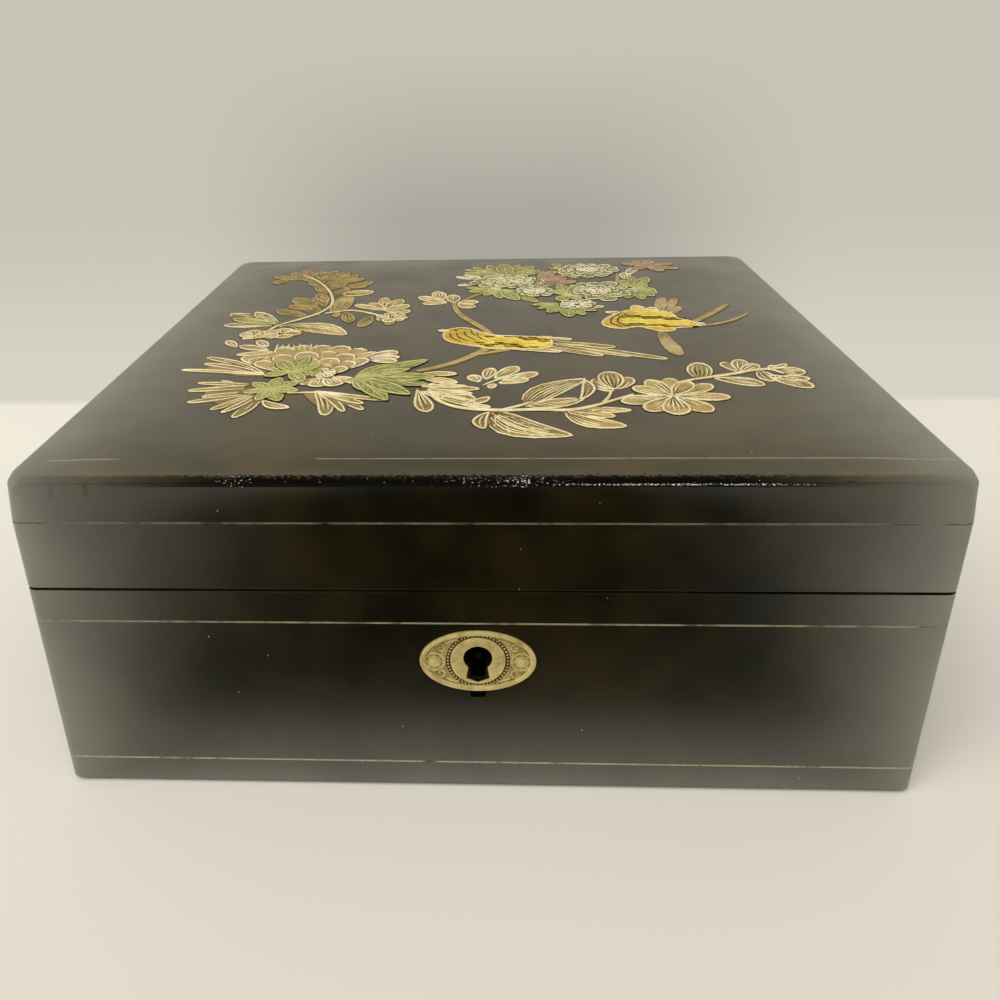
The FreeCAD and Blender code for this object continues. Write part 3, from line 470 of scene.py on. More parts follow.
    # chips painted near-white: partly real chips, partly painted glints along the arris
    wornGlint = add("Mix", {0: chipGlints, 6: base, 7: lacquer["chipGlint"]}, data_type="RGBA")
    cells = add("TexVoronoi", {"Vector": position, "Scale": 1 / (lacquer["speckCell"] * mm)})
    spot = add("Math", {0: cells.outputs["Distance"], 1: lacquer["speckSize"] / lacquer["speckCell"]},
               operation="LESS_THAN")
    dusty = add("Mix", {0: spot, 6: wornGlint, 7: lacquer["speck"]}, data_type="RGBA")
    gilt = giltLines(add, position, parts,
                     {"bottom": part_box("bottom_board")[1].z, "lid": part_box("lid_board")[0].z,
                      "middle": lacquer["middleLine"] * mm})
    shine = add("TexNoise", {"Vector": position, "Scale": 1 / (lacquer["giltGrain"] * mm)})
    giltTone = add("Mix", {0: shine, 6: lacquer["gilt"], 7: lacquer["giltWorn"]}, data_type="RGBA")
    colour = add("Mix", {0: gilt, 6: dusty, 7: giltTone}, data_type="RGBA")
    cloud = add("TexNoise", {"Vector": position, "Scale": 1 / (lacquer["cloud"] * mm), "Detail": 4.0})
    low, high = lacquer["roughness"]
    gloss = add("MapRange", {"Value": cloud, "From Min": 0.2, "From Max": 0.8, "To Min": low,
                             "To Max": high}, interpolation_type="SMOOTHSTEP")
    dull = add("Mix", {0: paintedSheen, 2: gloss, 3: lacquer["paintedSheenRoughness"]}, data_type="FLOAT")
    rough = add("Mix", {0: paintedDarkReflection, 2: dull, 3: lacquer["darkReflectionRoughness"]}, data_type="FLOAT")
    peel = add("TexNoise", {"Vector": position, "Scale": 1 / (lacquer["peel"] * mm), "Detail": 3.0})
    soft = add("Bump", {"Height": peel, "Strength": 0.25, "Distance": lacquer["peelHeight"] * mm})
    broken = add("Bump", {"Height": chips, "Strength": near, "Distance": 0.2 * mm, "Normal": soft})
    fillInputs(shader, {"Base Color": colour, "Roughness": rough, "Normal": broken})
    return material


# Brass: cast and stamped, once polished, now with a brown film in its hollows

brass = {"clean": "#f2df97", "film": "#b0914a", "blot": 3.2, "roughness": (0.28, 0.46), "grain": 0.35,
         "hollow": "#4b3812", "hollowDepth": 0.3, "metallic": 0.55,     # mm over which hollows turn dark
         "inside": "#0b0905", "brassTopEdge": 0.9}     # mm of lock brass that keeps its brass colour at the top


# hollowFront is the plane, in metres, behind which stamped brass keeps its dark film; lock brass is near black
# below its top edge
def brassMaterial(name, hollowFront=None, darkened=False):
    material, add, shader, position = startMaterial(name)
    blot = add("TexNoise", {"Vector": position, "Scale": 1 / (brass["blot"] * mm), "Detail": 6.0,
                            "Roughness": 0.65})
    film = add("MapRange", {"Value": blot, "From Min": 0.45, "From Max": 0.75})
    tone = add("Mix", {0: film, 6: brass["clean"], 7: brass["film"]}, data_type="RGBA")
    if hollowFront is not None:
        y = add("SeparateXYZ", {0: position}).outputs["Y"]
        hollow = add("MapRange", {"Value": y, "From Min": hollowFront,
                                  "From Max": hollowFront + brass["hollowDepth"] * mm})
        tone = add("Mix", {0: hollow, 6: tone, 7: brass["hollow"]}, data_type="RGBA")
    gloss = add("MapRange", {"Value": blot, "From Min": 0.35, "From Max": 0.7,
                             "To Min": brass["roughness"][0], "To Max": brass["roughness"][1]})
    if darkened:
        z = add("SeparateXYZ", {0: position}).outputs["Z"]
        inner = add("Math", {0: z, 1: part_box("lock_plate")[1].z - brass["brassTopEdge"] * mm},
                    operation="LESS_THAN")
        tone = add("Mix", {0: inner, 6: tone, 7: brass["inside"]}, data_type="RGBA")
        gloss = add("Mix", {0: inner, 2: gloss, 3: 0.75}, data_type="FLOAT")
    grain = add("TexNoise", {"Vector": position, "Scale": 1 / (brass["grain"] * mm)})
    bump = add("Bump", {"Height": grain, "Strength": 0.25, "Distance": 0.03 * mm})
    fillInputs(shader, {"Base Color": tone, "Metallic": brass["metallic"], "Roughness": gloss,
                        "Normal": bump})
    return material


# Spring steel: rolled strip, blued by tempering, with fine rolling lines

steel = {"blue": "#4c5560", "straw": "#77705f", "blot": 9.0, "line": 0.4}


def steelMaterial():
    material, add, shader, position = startMaterial("bluedSpringSteel")
    blot = add("TexNoise", {"Vector": position, "Scale": 1 / (steel["blot"] * mm), "Detail": 3.0})
    tone = add("Mix", {0: blot, 6: steel["blue"], 7: steel["straw"]}, data_type="RGBA")
    stretch = add("Mapping", {"Vector": position, "Scale": (1.0, 0.05, 1.0)})
    lines = add("TexNoise", {"Vector": stretch, "Scale": 1 / (steel["line"] * mm)})
    gloss = add("MapRange", {"Value": lines, "To Min": 0.25, "To Max": 0.5})
    bump = add("Bump", {"Height": lines, "Strength": 0.2, "Distance": 0.02 * mm})
    fillInputs(shader, {"Base Color": tone, "Metallic": 1.0, "Roughness": gloss, "Normal": bump})
    return material


# Softwood: planed boards of a pale conifer, unfinished, with annual rings and darkened pores

wood = {"early": "#c9a06a", "late": "#9a6b3a", "ring": 4.0, "fibre": 0.5, "stretch": 0.06}


def woodMaterial(name, alongY):
    material, add, shader, position = startMaterial(name)
    scale = (1.0, wood["stretch"], 1.0) if alongY else (wood["stretch"], 1.0, 1.0)
    flow = add("Mapping", {"Vector": position, "Scale": scale})
    sway = add("TexNoise", {"Vector": flow, "Scale": 1 / (26 * mm)})
    rings = add("TexWave", {"Vector": flow, "Scale": 0.5 / (wood["ring"] * mm), "Distortion": 5.0,
                            "Detail Scale": 1.5, "Phase Offset": sway}, wave_type="BANDS",
                bands_direction="DIAGONAL", wave_profile="SAW")
    fibre = add("TexNoise", {"Vector": flow, "Scale": 1 / (wood["fibre"] * mm)})
    blend = add("Math", {0: rings.outputs["Fac"], 1: fibre}, operation="MULTIPLY")
    tone = add("Mix", {0: blend, 6: wood["early"], 7: wood["late"]}, data_type="RGBA")
    gloss = add("MapRange", {"Value": fibre, "To Min": 0.55, "To Max": 0.75})
    bump = add("Bump", {"Height": fibre, "Strength": 0.3, "Distance": 0.06 * mm})
    fillInputs(shader, {"Base Color": tone, "Roughness": gloss, "Normal": bump})
    return material


# Velvet: short cotton pile glued on card, crimson, lighter where the pile is brushed over

velvet = {"deep": "#4a0c16", "brushed": "#7d1f2b", "sheen": "#d98a8f", "stroke": 14.0, "pile": 0.5}   # mm


def velvetMaterial():
    material, add, shader, position = startMaterial("crimsonVelvet")
    stroke = add("TexNoise", {"Vector": position, "Scale": 1 / (velvet["stroke"] * mm), "Detail": 4.0,
                              "Distortion": 1.2})
    nap = add("MapRange", {"Value": stroke, "From Min": 0.35, "From Max": 0.7})
    pile = add("TexNoise", {"Vector": position, "Scale": 1 / (velvet["pile"] * mm)})
    blend = add("Math", {0: nap, 1: pile}, operation="MULTIPLY")
    tone = add("Mix", {0: blend, 6: velvet["deep"], 7: velvet["brushed"]}, data_type="RGBA")
    gloss = add("MapRange", {"Value": pile, "To Min": 0.75, "To Max": 0.95})
    bump = add("Bump", {"Height": pile, "Strength": 0.6, "Distance": 0.15 * mm})
    fillInputs(shader, {"Base Color": tone, "Roughness": gloss, "Sheen Weight": 0.7,
                        "Sheen Roughness": 0.35, "Sheen Tint": velvet["sheen"],
                        "Specular IOR Level": 0.2, "Normal": bump})
    return material


# Paints of the ornament: metal powder and pigment sprinkled in wet lacquer, then rubbed

paints = {
    "giltLine": {"light": "#fff6cc", "dark": "#dcbd72", "metallic": 0.08, "roughness": 0.36},
    "giltGround": {"light": "#b59c64", "dark": "#7d6839", "metallic": 0.3, "roughness": 0.5},
    "paleGilt": {"light": "#dcc27c", "dark": "#a88b48", "metallic": 0.25, "roughness": 0.45},
    "leafGreen": {"light": "#99994d", "dark": "#68692c", "metallic": 0.0, "roughness": 0.5},
    "leafLine": {"light": "#e6df98", "dark": "#b4b35c", "metallic": 0.1, "roughness": 0.45},
    "canary": {"light": "#ecc838", "dark": "#ab861f", "metallic": 0.0, "roughness": 0.45},
    "canaryLine": {"light": "#fff582", "dark": "#ecc940", "metallic": 0.1, "roughness": 0.4},
    "feather": {"light": "#d8c096", "dark": "#ab8f62", "metallic": 0.2, "roughness": 0.5},
    "cream": {"light": "#d2b679", "dark": "#967a46", "metallic": 0.1, "roughness": 0.5},
    "creamLine": {"light": "#fffbe4", "dark": "#e8d29b", "metallic": 0.0, "roughness": 0.42},
    "rose": {"light": "#c7a181", "dark": "#977354", "metallic": 0.1, "roughness": 0.5},
    # umber is also the painted shade round each ground, under its inset rim and in the creases between rays
    "umber": {"light": "#5a451c", "dark": "#2c200c", "metallic": 0.1, "roughness": 0.55},
}
paintNames = list(paints)
powder = {"grain": 0.6, "cloud": 5.0, "height": 0.08}   # mm


def paintMaterial(name):
    look = paints[name]
    material, add, shader, position = startMaterial("sprinkled_" + name)
    grain = add("TexNoise", {"Vector": position, "Scale": 1 / (powder["grain"] * mm), "Detail": 3.0})
    cloud = add("TexNoise", {"Vector": position, "Scale": 1 / (powder["cloud"] * mm), "Detail": 3.0})
    both = add("Math", {0: grain, 1: cloud}, operation="ADD")
    share = add("MapRange", {"Value": both, "From Min": 0.75, "From Max": 1.3})
    tone = add("Mix", {0: share, 6: look["light"], 7: look["dark"]}, data_type="RGBA")
    gloss = add("MapRange", {"Value": grain, "To Min": look["roughness"] - 0.1,
                             "To Max": look["roughness"] + 0.1})
    bump = add("Bump", {"Height": grain, "Strength": 0.5, "Distance": powder["height"] * mm})
    fillInputs(shader, {"Base Color": tone, "Metallic": look["metallic"], "Roughness": gloss,
                        "Normal": bump})
    return material


finishes = {
    "black_lacquer": lacquerMaterial("blackLacquerRubbed", lacquer["black"], lacquer["brown"]),
    "brass": brassMaterial("agedBrass"),
    "spring_steel": steelMaterial(),
    "bare_wood": woodMaterial("planedSoftwoodAlongX", False),
    "velvet": velvetMaterial(),
}
woodAlongY = woodMaterial("planedSoftwoodAlongY", True)
darkLockBrass = brassMaterial("darkenedLockBrass", darkened=True)
lidTopLacquer = lacquerMaterial("blackLacquerLidTop", lacquer["lidBlack"], lacquer["lidBrown"])
paintMaterials = [paintMaterial(name) for name in paintNames]


# Each node of the frame gets its slot's finish; boards that run from front to back get the turned grain
def dressNodes():
    slotOf = {part["node"]: part["material_slot"] for part in frame["record"]["subparts"]}
    for name, node in frame["nodes"].items():
        low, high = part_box(name)
        finish = finishes[slotOf[name]]
        if name in ("lock_case", "lock_plate", "lock_key_pin"):
            finish = darkLockBrass
        if slotOf[name] == "bare_wood" and high.y - low.y > high.x - low.x:
            finish = woodAlongY
        node.data.materials.clear()
        node.data.materials.append(finish)


dressNodes()
print("frame dressed")


# Keyhole plate: oval, with a rolled rim, a sunk stamped field and a beaded ring round a plain disc

plate = {
    "rimWidth": 1.5, "rimSteps": 7, "segments": 96,
    "field": 0.5, "groove": 0.3, "disc": 0.85,                    # mm proud of the front
    "grooveRadius": 8.6, "discRadius": 7.3,
    "ringRadius": 8.02, "beads": 50, "beadSize": 0.36, "beadProud": 0.42, "wire": 0.34,
    "headRadius": 3.85, "headAbove": 0.8, "neckHalf": 2.5, "neckBelow": 2.5,      # keyhole
    "footHalf": 3.15, "footBelow": 6.4, "tipBelow": 7.7,
    "rosette": (11.6, -0.3), "rosetteRings": (1.55, 2.7), "rosetteBeads": (8, 2.15, 0.36),
    "scrollAt": (9.9, 4.0), "scroll": (1.45, 0.085, 0.55, 0.6),   # radius, shrinking, turning, first turn
    "spray": (8.6, 0.55, 5.5, 0.32, 0.02),                        # place, step inward, place, rise, sag
    "buds": [(6, 13.0, -0.62, 2.2, 0.78, 0.34), (4, 9.25, 0.1, 0.5, 0.85, 0.3),
             (4, 7.4, -1.1, 6.6, 0.28, 0.3)],                     # count, x and step, z and step, size
}


# How far the keyhole's edge is from the plate's middle at an angle, in millimetres
def keyholeReach(angle):
    way = Vector((math.cos(angle), math.sin(angle)))
    middle = Vector((0, plate["headAbove"]))
    along = way.dot(middle)
    reach = along + math.sqrt(along ** 2 - middle.length_squared + plate["headRadius"] ** 2)
    outline = [(plate["neckHalf"], plate["headAbove"] - plate["neckBelow"]),
               (plate["footHalf"], plate["headAbove"] - plate["footBelow"]),
               (0, plate["headAbove"] - plate["tipBelow"])]
    outline += [(-x, y) for x, y in reversed(outline[:2])]
    for (ax, ay), (bx, by) in zip(outline, outline[1:]):
        edge = Vector((bx - ax, by - ay))
        turn = way.x * edge.y - way.y * edge.x
        if abs(turn) > 1e-9:
            far = (ax * edge.y - ay * edge.x) / turn
            share = (ax * way.y - ay * way.x) / turn
            if far > 0 and 0 <= share <= 1:
                reach = max(reach, far)
    return reach


def buildPlate():
    low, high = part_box("escutcheon")
    middle = (low + high) / 2
    front = high.y
    halfWide = (high.x - low.x) / 2 / mm
    halfHigh = (high.z - low.z) / 2 / mm
    proud = (high.y - low.y) / mm
    bm = bmesh.new()
    turned = bm.verts.layers.float.new("turned")

    def spot(across, up, out):
        return Vector((middle.x + across * mm, front - out * mm, middle.z + up * mm))

    # each ring: a function from angle to place, and how far it stands proud
    def oval(inset):
        return lambda a: ((halfWide - inset) * math.cos(a), (halfHigh - inset) * math.sin(a))

    def disc(radius):
        return lambda a: (radius * math.cos(a), radius * math.sin(a))

    def hole(grow):
        return lambda a: ((keyholeReach(a) + grow) * math.cos(a), (keyholeReach(a) + grow) * math.sin(a))

    rings = [(oval(0.25), 0.0), (oval(0.0), 0.3)]
    for step in range(plate["rimSteps"] + 1):
        turn = math.pi * step / plate["rimSteps"]
        foot = 0.55 if turn < math.pi / 2 else plate["field"] - 0.12
        rings.append((oval(plate["rimWidth"] * (1 - math.cos(turn)) / 2),
                      foot + (proud - foot) * math.sin(turn)))
    rings += [(oval(plate["rimWidth"] + 0.25), plate["field"]),
              (disc(plate["grooveRadius"]), plate["field"]),
              (disc(plate["grooveRadius"] - 0.12), plate["groove"]),
              (disc(plate["discRadius"] + 0.1), plate["groove"]),
              (disc(plate["discRadius"]), plate["disc"] - 0.1),
              (disc(plate["discRadius"] - 0.15), plate["disc"]),
              (hole(0.25), plate["disc"]), (hole(0.06), plate["disc"] - 0.08),
              (hole(0.0), plate["disc"] - 0.3), (hole(0.0), 0.0), rings[0]]
    made = bmesh.ops.create_circle(bm, segments=plate["segments"], radius=1)
    for vert in made["verts"]:
        vert[turned] = math.atan2(vert.co.y, vert.co.x)
    verts = made["verts"]
    for index, (place, out) in enumerate(rings):
        if index > 0:
            last = set(verts)
            edges = [edge for edge in bm.edges if edge.verts[0] in last and edge.verts[1] in last]
            grown = bmesh.ops.extrude_edge_only(bm, edges=edges)["geom"]
            verts = [item for item in grown if isinstance(item, bmesh.types.BMVert)]
        for vert in verts:
            vert.co = spot(*place(vert[turned]), out)
    bmesh.ops.remove_doubles(bm, verts=bm.verts, dist=0.001 * mm)

    def bead(across, up, size, out=plate["field"]):
        made = bmesh.ops.create_icosphere(bm, subdivisions=1, radius=size * mm)
        bmesh.ops.translate(bm, verts=made["verts"], vec=spot(across, up, out))

    for index in range(plate["beads"]):
        angle = 2 * math.pi * index / plate["beads"]
        bead(plate["ringRadius"] * math.cos(angle), plate["ringRadius"] * math.sin(angle),
             plate["beadSize"], plate["beadProud"])

    # stamped wires: rings round the pin heads, scrolls and sprays above and below them
    wires = []
    for side in (-1, 1):
        across, up = plate["rosette"]
        for radius in plate["rosetteRings"]:
            wires.append([(side * across + radius * math.cos(2 * math.pi * k / 18),
                           up + radius * math.sin(2 * math.pi * k / 18)) for k in range(19)])
        count, radius, size = plate["rosetteBeads"]
        for index in range(count):
            angle = 2 * math.pi * index / count
            bead(side * across + radius * math.cos(angle), up + radius * math.sin(angle), size)
        for lift in (-1, 1):
            centre = (side * plate["scrollAt"][0], lift * plate["scrollAt"][1])
            wide, shrink, step, first = plate["scroll"]
            turns = [(wide - shrink * k, k * step + first) for k in range(15)]
            wires.append([(centre[0] + side * radius * math.cos(turn),
                           centre[1] + lift * radius * math.sin(turn)) for radius, turn in turns])
            x, inward, y, rise, sag = plate["spray"]
            wires.append([(side * (x - inward * k), lift * (y + rise * k - sag * k * k)) for k in range(7)])
            for count, x, stepX, y, stepY, size in plate["buds"]:
                for bud in range(count):
                    bead(side * (x + stepX * bud), lift * (y + stepY * bud), size)
    for wire in wires:
        previous = previousSpot = None
        for across, up in wire:
            made = bmesh.ops.create_circle(bm, segments=6, radius=plate["wire"] * mm)
            here = spot(across, up, plate["field"] + 0.04)
            ahead = spot(*wire[1], plate["field"]) - here if previous is None else here - previousSpot
            turn = ahead.to_track_quat("Z", "Y").to_matrix().to_4x4()
            bmesh.ops.transform(bm, matrix=Matrix.Translation(here) @ turn, verts=made["verts"])
            ring = list({edge for vert in made["verts"] for edge in vert.link_edges})
            if previous is not None:
                bmesh.ops.bridge_loops(bm, edges=previous + ring)
            previous, previousSpot = ring, here
    bmesh.ops.recalc_face_normals(bm, faces=bm.faces)
    hollowFront = front - (plate["field"] + 0.12) * mm
    piece = meshObject("keyhole_plate", bm, [brassMaterial("stampedBrass", hollowFront)])
    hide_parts("escutcheon")
    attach(piece, "base")


buildPlate()
print("keyhole plate made")


# Lid board: a board with rounded arrises whose top swells to a shallow cushion, dented along its front

lidBoard = {
    "corner": 3.0, "cornerSteps": 8, "arris": 2.2, "arrisSteps": 8, "foot": 0.25,    # mm
    "frontDeep": 3.4, "frontHigh": 1.3, "wornCorner": 7.2,                           # mm
    "ledge": 4.0, "margin": 24.6, "swell": 0.9, "cell": 3.0,                         # mm
    "dentCell": 0.9, "dent": 0.5, "dentSize": 1.4, "dentZone": 3.2, "dentRun": 17.0, # mm
    "dentInside": 0.6, "dentReach": 1.6, "dentEnd": 6.0,                             # mm
    "dentFrom": 0.05,                    # noise where a dent begins
    "easeRun": 12.0, "easeFrom": 0.5,    # mm over which the front arris eases, and from which share of it
}


# How far the cushion falls below its flat middle at a place, as a share of its swell
def cushionFall(x, y):
    far = []
    for place, reach in ((x, cadBox[1][0]), (y, cadBox[1][1])):
        inset = (reach - abs(place)) / mm
        far.append(min(max((lidBoard["ledge"] + lidBoard["margin"] - inset) / lidBoard["margin"], 0), 1))
    return min(far[0] ** 2 + far[1] ** 2, 1.0)


def buildLidBoard():
    low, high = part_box("lid_board")
    rim = high.z - cushionHigh
    size = Vector((high.x - low.x, high.y - low.y, rim - low.z))
    bm = bmesh.new()
    bmesh.ops.create_cube(bm, size=1)
    bmesh.ops.scale(bm, vec=size, verts=bm.verts)
    bmesh.ops.translate(bm, vec=(low + Vector((high.x, high.y, rim))) / 2, verts=bm.verts)
    upright = [edge for edge in bm.edges if abs(edge.verts[0].co.z - edge.verts[1].co.z) > 1 * mm]
    bmesh.ops.bevel(bm, geom=upright, offset=lidBoard["corner"] * mm, segments=lidBoard["cornerSteps"],
                    profile=0.5, affect="EDGES", material=-1)
    for height, width, steps in ((rim, lidBoard["arris"], lidBoard["arrisSteps"]),
                                 (low.z, lidBoard["foot"], 2)):
        ring = [edge for edge in bm.edges
                if all(abs(vert.co.z - height) < 0.001 * mm for vert in edge.verts)]
        bmesh.ops.bevel(bm, geom=ring, offset=width * mm, segments=steps, profile=0.5, affect="EDGES",
                        material=-1)

    # close cuts over the cushion's slopes, wider ones across its flat middle
    for axis, reach in ((0, high.x), (1, high.y)):
        for side in (-1, 1):
            step = lidBoard["ledge"]
            while step < lidBoard["ledge"] + lidBoard["margin"] + 1:
                cutAcross(bm, axis, side * (reach - step * mm))
                step += lidBoard["cell"]
    # small dents and chips along the front arris
    zoneSize = lidBoard["dentZone"] * mm
    place = low.x + 4 * mm
    while place < high.x - 4 * mm:
        zone = []
        for face in bm.faces:
            middle = face.calc_center_median()
            across = [vert.co.x for vert in face.verts]
            if (middle.y < low.y + zoneSize and middle.z > rim - zoneSize
                    and min(across) < place < max(across)):
                zone.append(face)
        parts = set(zone)
        for face in zone:
            parts.update(face.verts)
            parts.update(face.edges)
        cutAcross(bm, 0, place, list(parts))
        place += lidBoard["dentCell"] * mm
    for vert in bm.verts:
        x, y, z = vert.co
        if z > rim - 0.01 * mm:
            vert.co.z = rim + lidBoard["swell"] * mm * (1 - cushionFall(x, y))
        inside = lidBoard["dentInside"] * mm
        reach = lidBoard["dentReach"] * mm
        depth = math.hypot(y - low.y - inside, z - rim + inside)
        if depth < reach and abs(x) < high.x - lidBoard["dentEnd"] * mm:
            bite = noise.noise(Vector((x, y, z)) / (lidBoard["dentSize"] * mm))
            bite += 0.5 * noise.noise(Vector((x, 0, 0)) / (lidBoard["dentRun"] * mm))
            dent = max(bite - lidBoard["dentFrom"], 0) * lidBoard["dent"] * mm
            vert.co += Vector((0, 1, -1)) * dent * (1 - depth / reach)
    # the front arris is eased on top and crisp in front, and the corners are worn round
    arris = lidBoard["arris"] * mm
    for vert in bm.verts:
        x, y, z = vert.co
        share = min(max((high.x - abs(x)) / mm / lidBoard["easeRun"] - lidBoard["easeFrom"], 0), 1)
        out, up = (low.y + arris - y) / arris, (z - rim + arris) / arris
        if share > 0 and out > -0.001 and up > -0.001:
            turn = math.atan2(max(out, 0), max(up, 0))
            eased = Vector((x, low.y + lidBoard["frontDeep"] * mm * (1 - math.sin(turn)),
                            rim - lidBoard["frontHigh"] * mm * (1 - math.cos(turn))))
            vert.co = vert.co.lerp(eased, share)
        sunk = lidBoard["wornCorner"] - (high.x - abs(x) + min(y - low.y, high.y - y) + rim - z) / mm
        if sunk > 0:
            push = sunk ** 2 / (sunk + 1.5) / 3 * mm
            vert.co += Vector((-math.copysign(push, x), -math.copysign(push, y), -push))
    bm.normal_update()
    for face in bm.faces:
        face.material_index = 1 if face.normal.z > 0.8 else 0
    piece = meshObject("lid_board_cushion", bm, [finishes["black_lacquer"], lidTopLacquer])
    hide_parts("lid_board")
    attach(piece, "lid")
    return piece


lidTopPiece = buildLidBoard()
print("lid board made")


# Linings: velvet over card, with soft rolled edges and a nap that isn't quite flat

lining = {"edge": 0.5, "segments": 3, "cell": 6.0, "nap": 0.12, "wave": 11.0}   # mm
bodyOf = {node: body for body, nodes in frame["record"]["behaviour"]["bodies"].items() for node in nodes}


def buildLining(node):
    low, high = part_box(node)
    bm = bmesh.new()
    bm.from_mesh(frame["nodes"][node].data)
    bmesh.ops.remove_doubles(bm, verts=bm.verts, dist=0.01 * mm)
    bmesh.ops.dissolve_limit(bm, angle_limit=math.radians(2), verts=bm.verts, edges=bm.edges)
    sharp = [edge for edge in bm.edges if len(edge.link_faces) == 2 and edge.calc_face_angle() > 0.7]
    bmesh.ops.bevel(bm, geom=sharp, offset=lining["edge"] * mm, segments=lining["segments"], profile=0.5,
                    affect="EDGES", material=-1, clamp_overlap=True)
    for axis in range(3):
        start = low[axis] + lining["cell"] * mm
        while start < high[axis] - lining["cell"] / 2 * mm:
            cutAcross(bm, axis, start)
            start += lining["cell"] * mm
    bm.normal_update()
    for vert in bm.verts:
        push = noise.noise(vert.co / (lining["wave"] * mm)) * 0.5 - 0.5
        vert.co += vert.normal * push * lining["nap"] * mm
    piece = meshObject(node + "_velvet", bm, [finishes["velvet"]])
    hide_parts(node)
    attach(piece, bodyOf[node])


for part in frame["record"]["subparts"]:
    if part["material_slot"] == "velvet":
        buildLining(part["node"])
print("linings made")


# Ornament: flat grounds with raised outlines and rays, laid on the lid's cushioned top, in millimetres

relief = {
    "ground": 0.18, "dome": 0.06, "border": 0.32, "layer": 0.055,   # thickness, rise and inset of a ground; the inset rim and sides take its painted shade
    "line": 0.9, "ray": 0.66, "crease": 0.48,                       # widths of strokes
    "gap": 1.42, "narrow": 2.2, "creased": 4.0,                     # ray spacing, widths of petals
    "flat": 0.56, "sink": 0.05,                                     # share of the height, depth of the foot
    "steps": 9, "ringStart": 0.18,                                  # points of a side, share of the radius
}
# rays: where they start and end as shares of a petal, how they sway and vary, and how long creases are
strokes = {"root": 0.1, "rootMore": 0.12, "end": 0.94, "sideLess": 0.12, "endLess": 0.25, "wave": 0.04,
           "width": (0.7, 1.15), "bright": 0.8, "crease": (0.3, 0.72)}
petalLook = {"ground": "giltGround", "line": "giltLine", "rays": True, "full": 0.6, "blunt": 0.6,
             "layer": 0, "ribs": 0, "thick": 1.0, "shadow": "umber", "faint": "paleGilt"}


# The place on a petal: share of the way from root to tip, and share of the half width
def petalSpot(root, tip, width, bend, full, blunt):
    root, tip = Vector(root), Vector(tip)
    axis = tip - root
    across = Vector((-axis.y, axis.x)).normalized()
    lean = math.log(0.5) / math.log(full)

    def spot(t, share):
        half = width / 2 * max(math.sin(math.pi * t ** lean), 0) ** blunt
        return root + axis * t + across * (share * half + bend * axis.length * math.sin(math.pi * t))
    return spot


def addLine(motif, points, width, paint, layer, closed=False):
    motif["lines"].append((points, width, paint, layer, closed))


# A petal or leaf: its ground and outline, then rays with painted shade creases between them, or ribs
def addPetal(motif, root, tip, width, bend=0.0, **own):
    look = dict(petalLook, **own)
    thick = look["thick"]

    def draw(points, wide, paint=look["line"], closed=False):
        addLine(motif, points, wide, paint, look["layer"], closed)

    edge = relief["line"] * thick / 2 + relief["border"] * 0.8
    axis = (Vector(tip) - Vector(root)).normalized()
    steps = relief["steps"]
    shares = [0.5 - 0.5 * math.cos(math.pi * k / steps) for k in range(steps + 1)]
    around = [(t, 1) for t in shares] + [(t, -1) for t in reversed(shares[1:-1])]
    outer = petalSpot(root, tip, width, bend, look["full"], look["blunt"])
    inner = Vector(tip) - axis * edge
    spot = petalSpot(root, inner, max(width - 2 * edge, 0.5), bend, look["full"], look["blunt"])
    motif["grounds"].append(([outer(*a) for a in around], look["ground"], look["layer"], look["shadow"]))
    if width < relief["narrow"]:
        draw([spot(k / 6, 0) for k in range(7)], width * 0.75)
        return
    draw([spot(*a) for a in around], relief["line"] * thick, closed=True)
    count = int((width - 2 * edge - relief["line"]) / relief["gap"]) if look["rays"] else 0
    for ray in range(count):
        side = (ray + 1) / (count + 1) * 2 - 1
        start = strokes["root"] + random.random() * strokes["rootMore"]
        end = strokes["end"] - strokes["sideLess"] * abs(side) - random.random() * strokes["endLess"]
        wave = strokes["wave"]
        points = [spot(start + (end - start) * k / 5, side + random.uniform(-wave, wave)) for k in range(6)]
        draw(points, relief["ray"] * thick * random.uniform(*strokes["width"]),
             look["line"] if random.random() < strokes["bright"] else look["faint"])
    # creases between the rays are drawn in the shadow paint: painted shade
    if width > relief["creased"] and look["rays"]:
        for crease in range(count + 1):
            side = (crease + 0.5) / (count + 1) * 2 - 1
            end = random.uniform(*strokes["crease"])
            points = [spot(0.04 + end * k / 4, side * (0.75 + 0.25 * k / 4)) for k in range(5)]
            draw(points, relief["crease"], look["shadow"])
    if look["ribs"]:
        draw([spot(0.04 + 0.9 * k / 6, 0) for k in range(7)], relief["ray"] * thick)
    for rib in range(look["ribs"]):
        t = 0.1 + 0.66 * rib / look["ribs"]
        for side in (-1, 1):
            draw([spot(t + 0.2 * k / 3, side * 0.8 * k / 3) for k in range(4)], relief["ray"] * 0.8 * thick)


# Petals or leaflets from one root to several tips, laid over each other in turn; a tip is its place,
# the width and, if the petal bends, its bend
def addFan(motif, root, tips, start=0.0, rise=0.3, cycle=3, layer=0, **own):
    for index, (x, y, width, *bend) in enumerate(tips):
        foot = (root[0] + (x - root[0]) * start, root[1] + (y - root[1]) * start)
        addPetal(motif, foot, (x, y), width, *bend, layer=layer + rise * (index % cycle), **own)


# A ring of strokes as short as they are wide
def addDots(motif, middle, radius, count, size, paint="umber", layer=5):
    for index in range(count):
        angle = 2 * math.pi * index / count + random.random()
        x = middle[0] + radius * math.cos(angle)
        y = middle[1] + radius * math.sin(angle)
        addLine(motif, [(x - size * 0.3, y), (x + size * 0.3, y)], size, paint, layer)


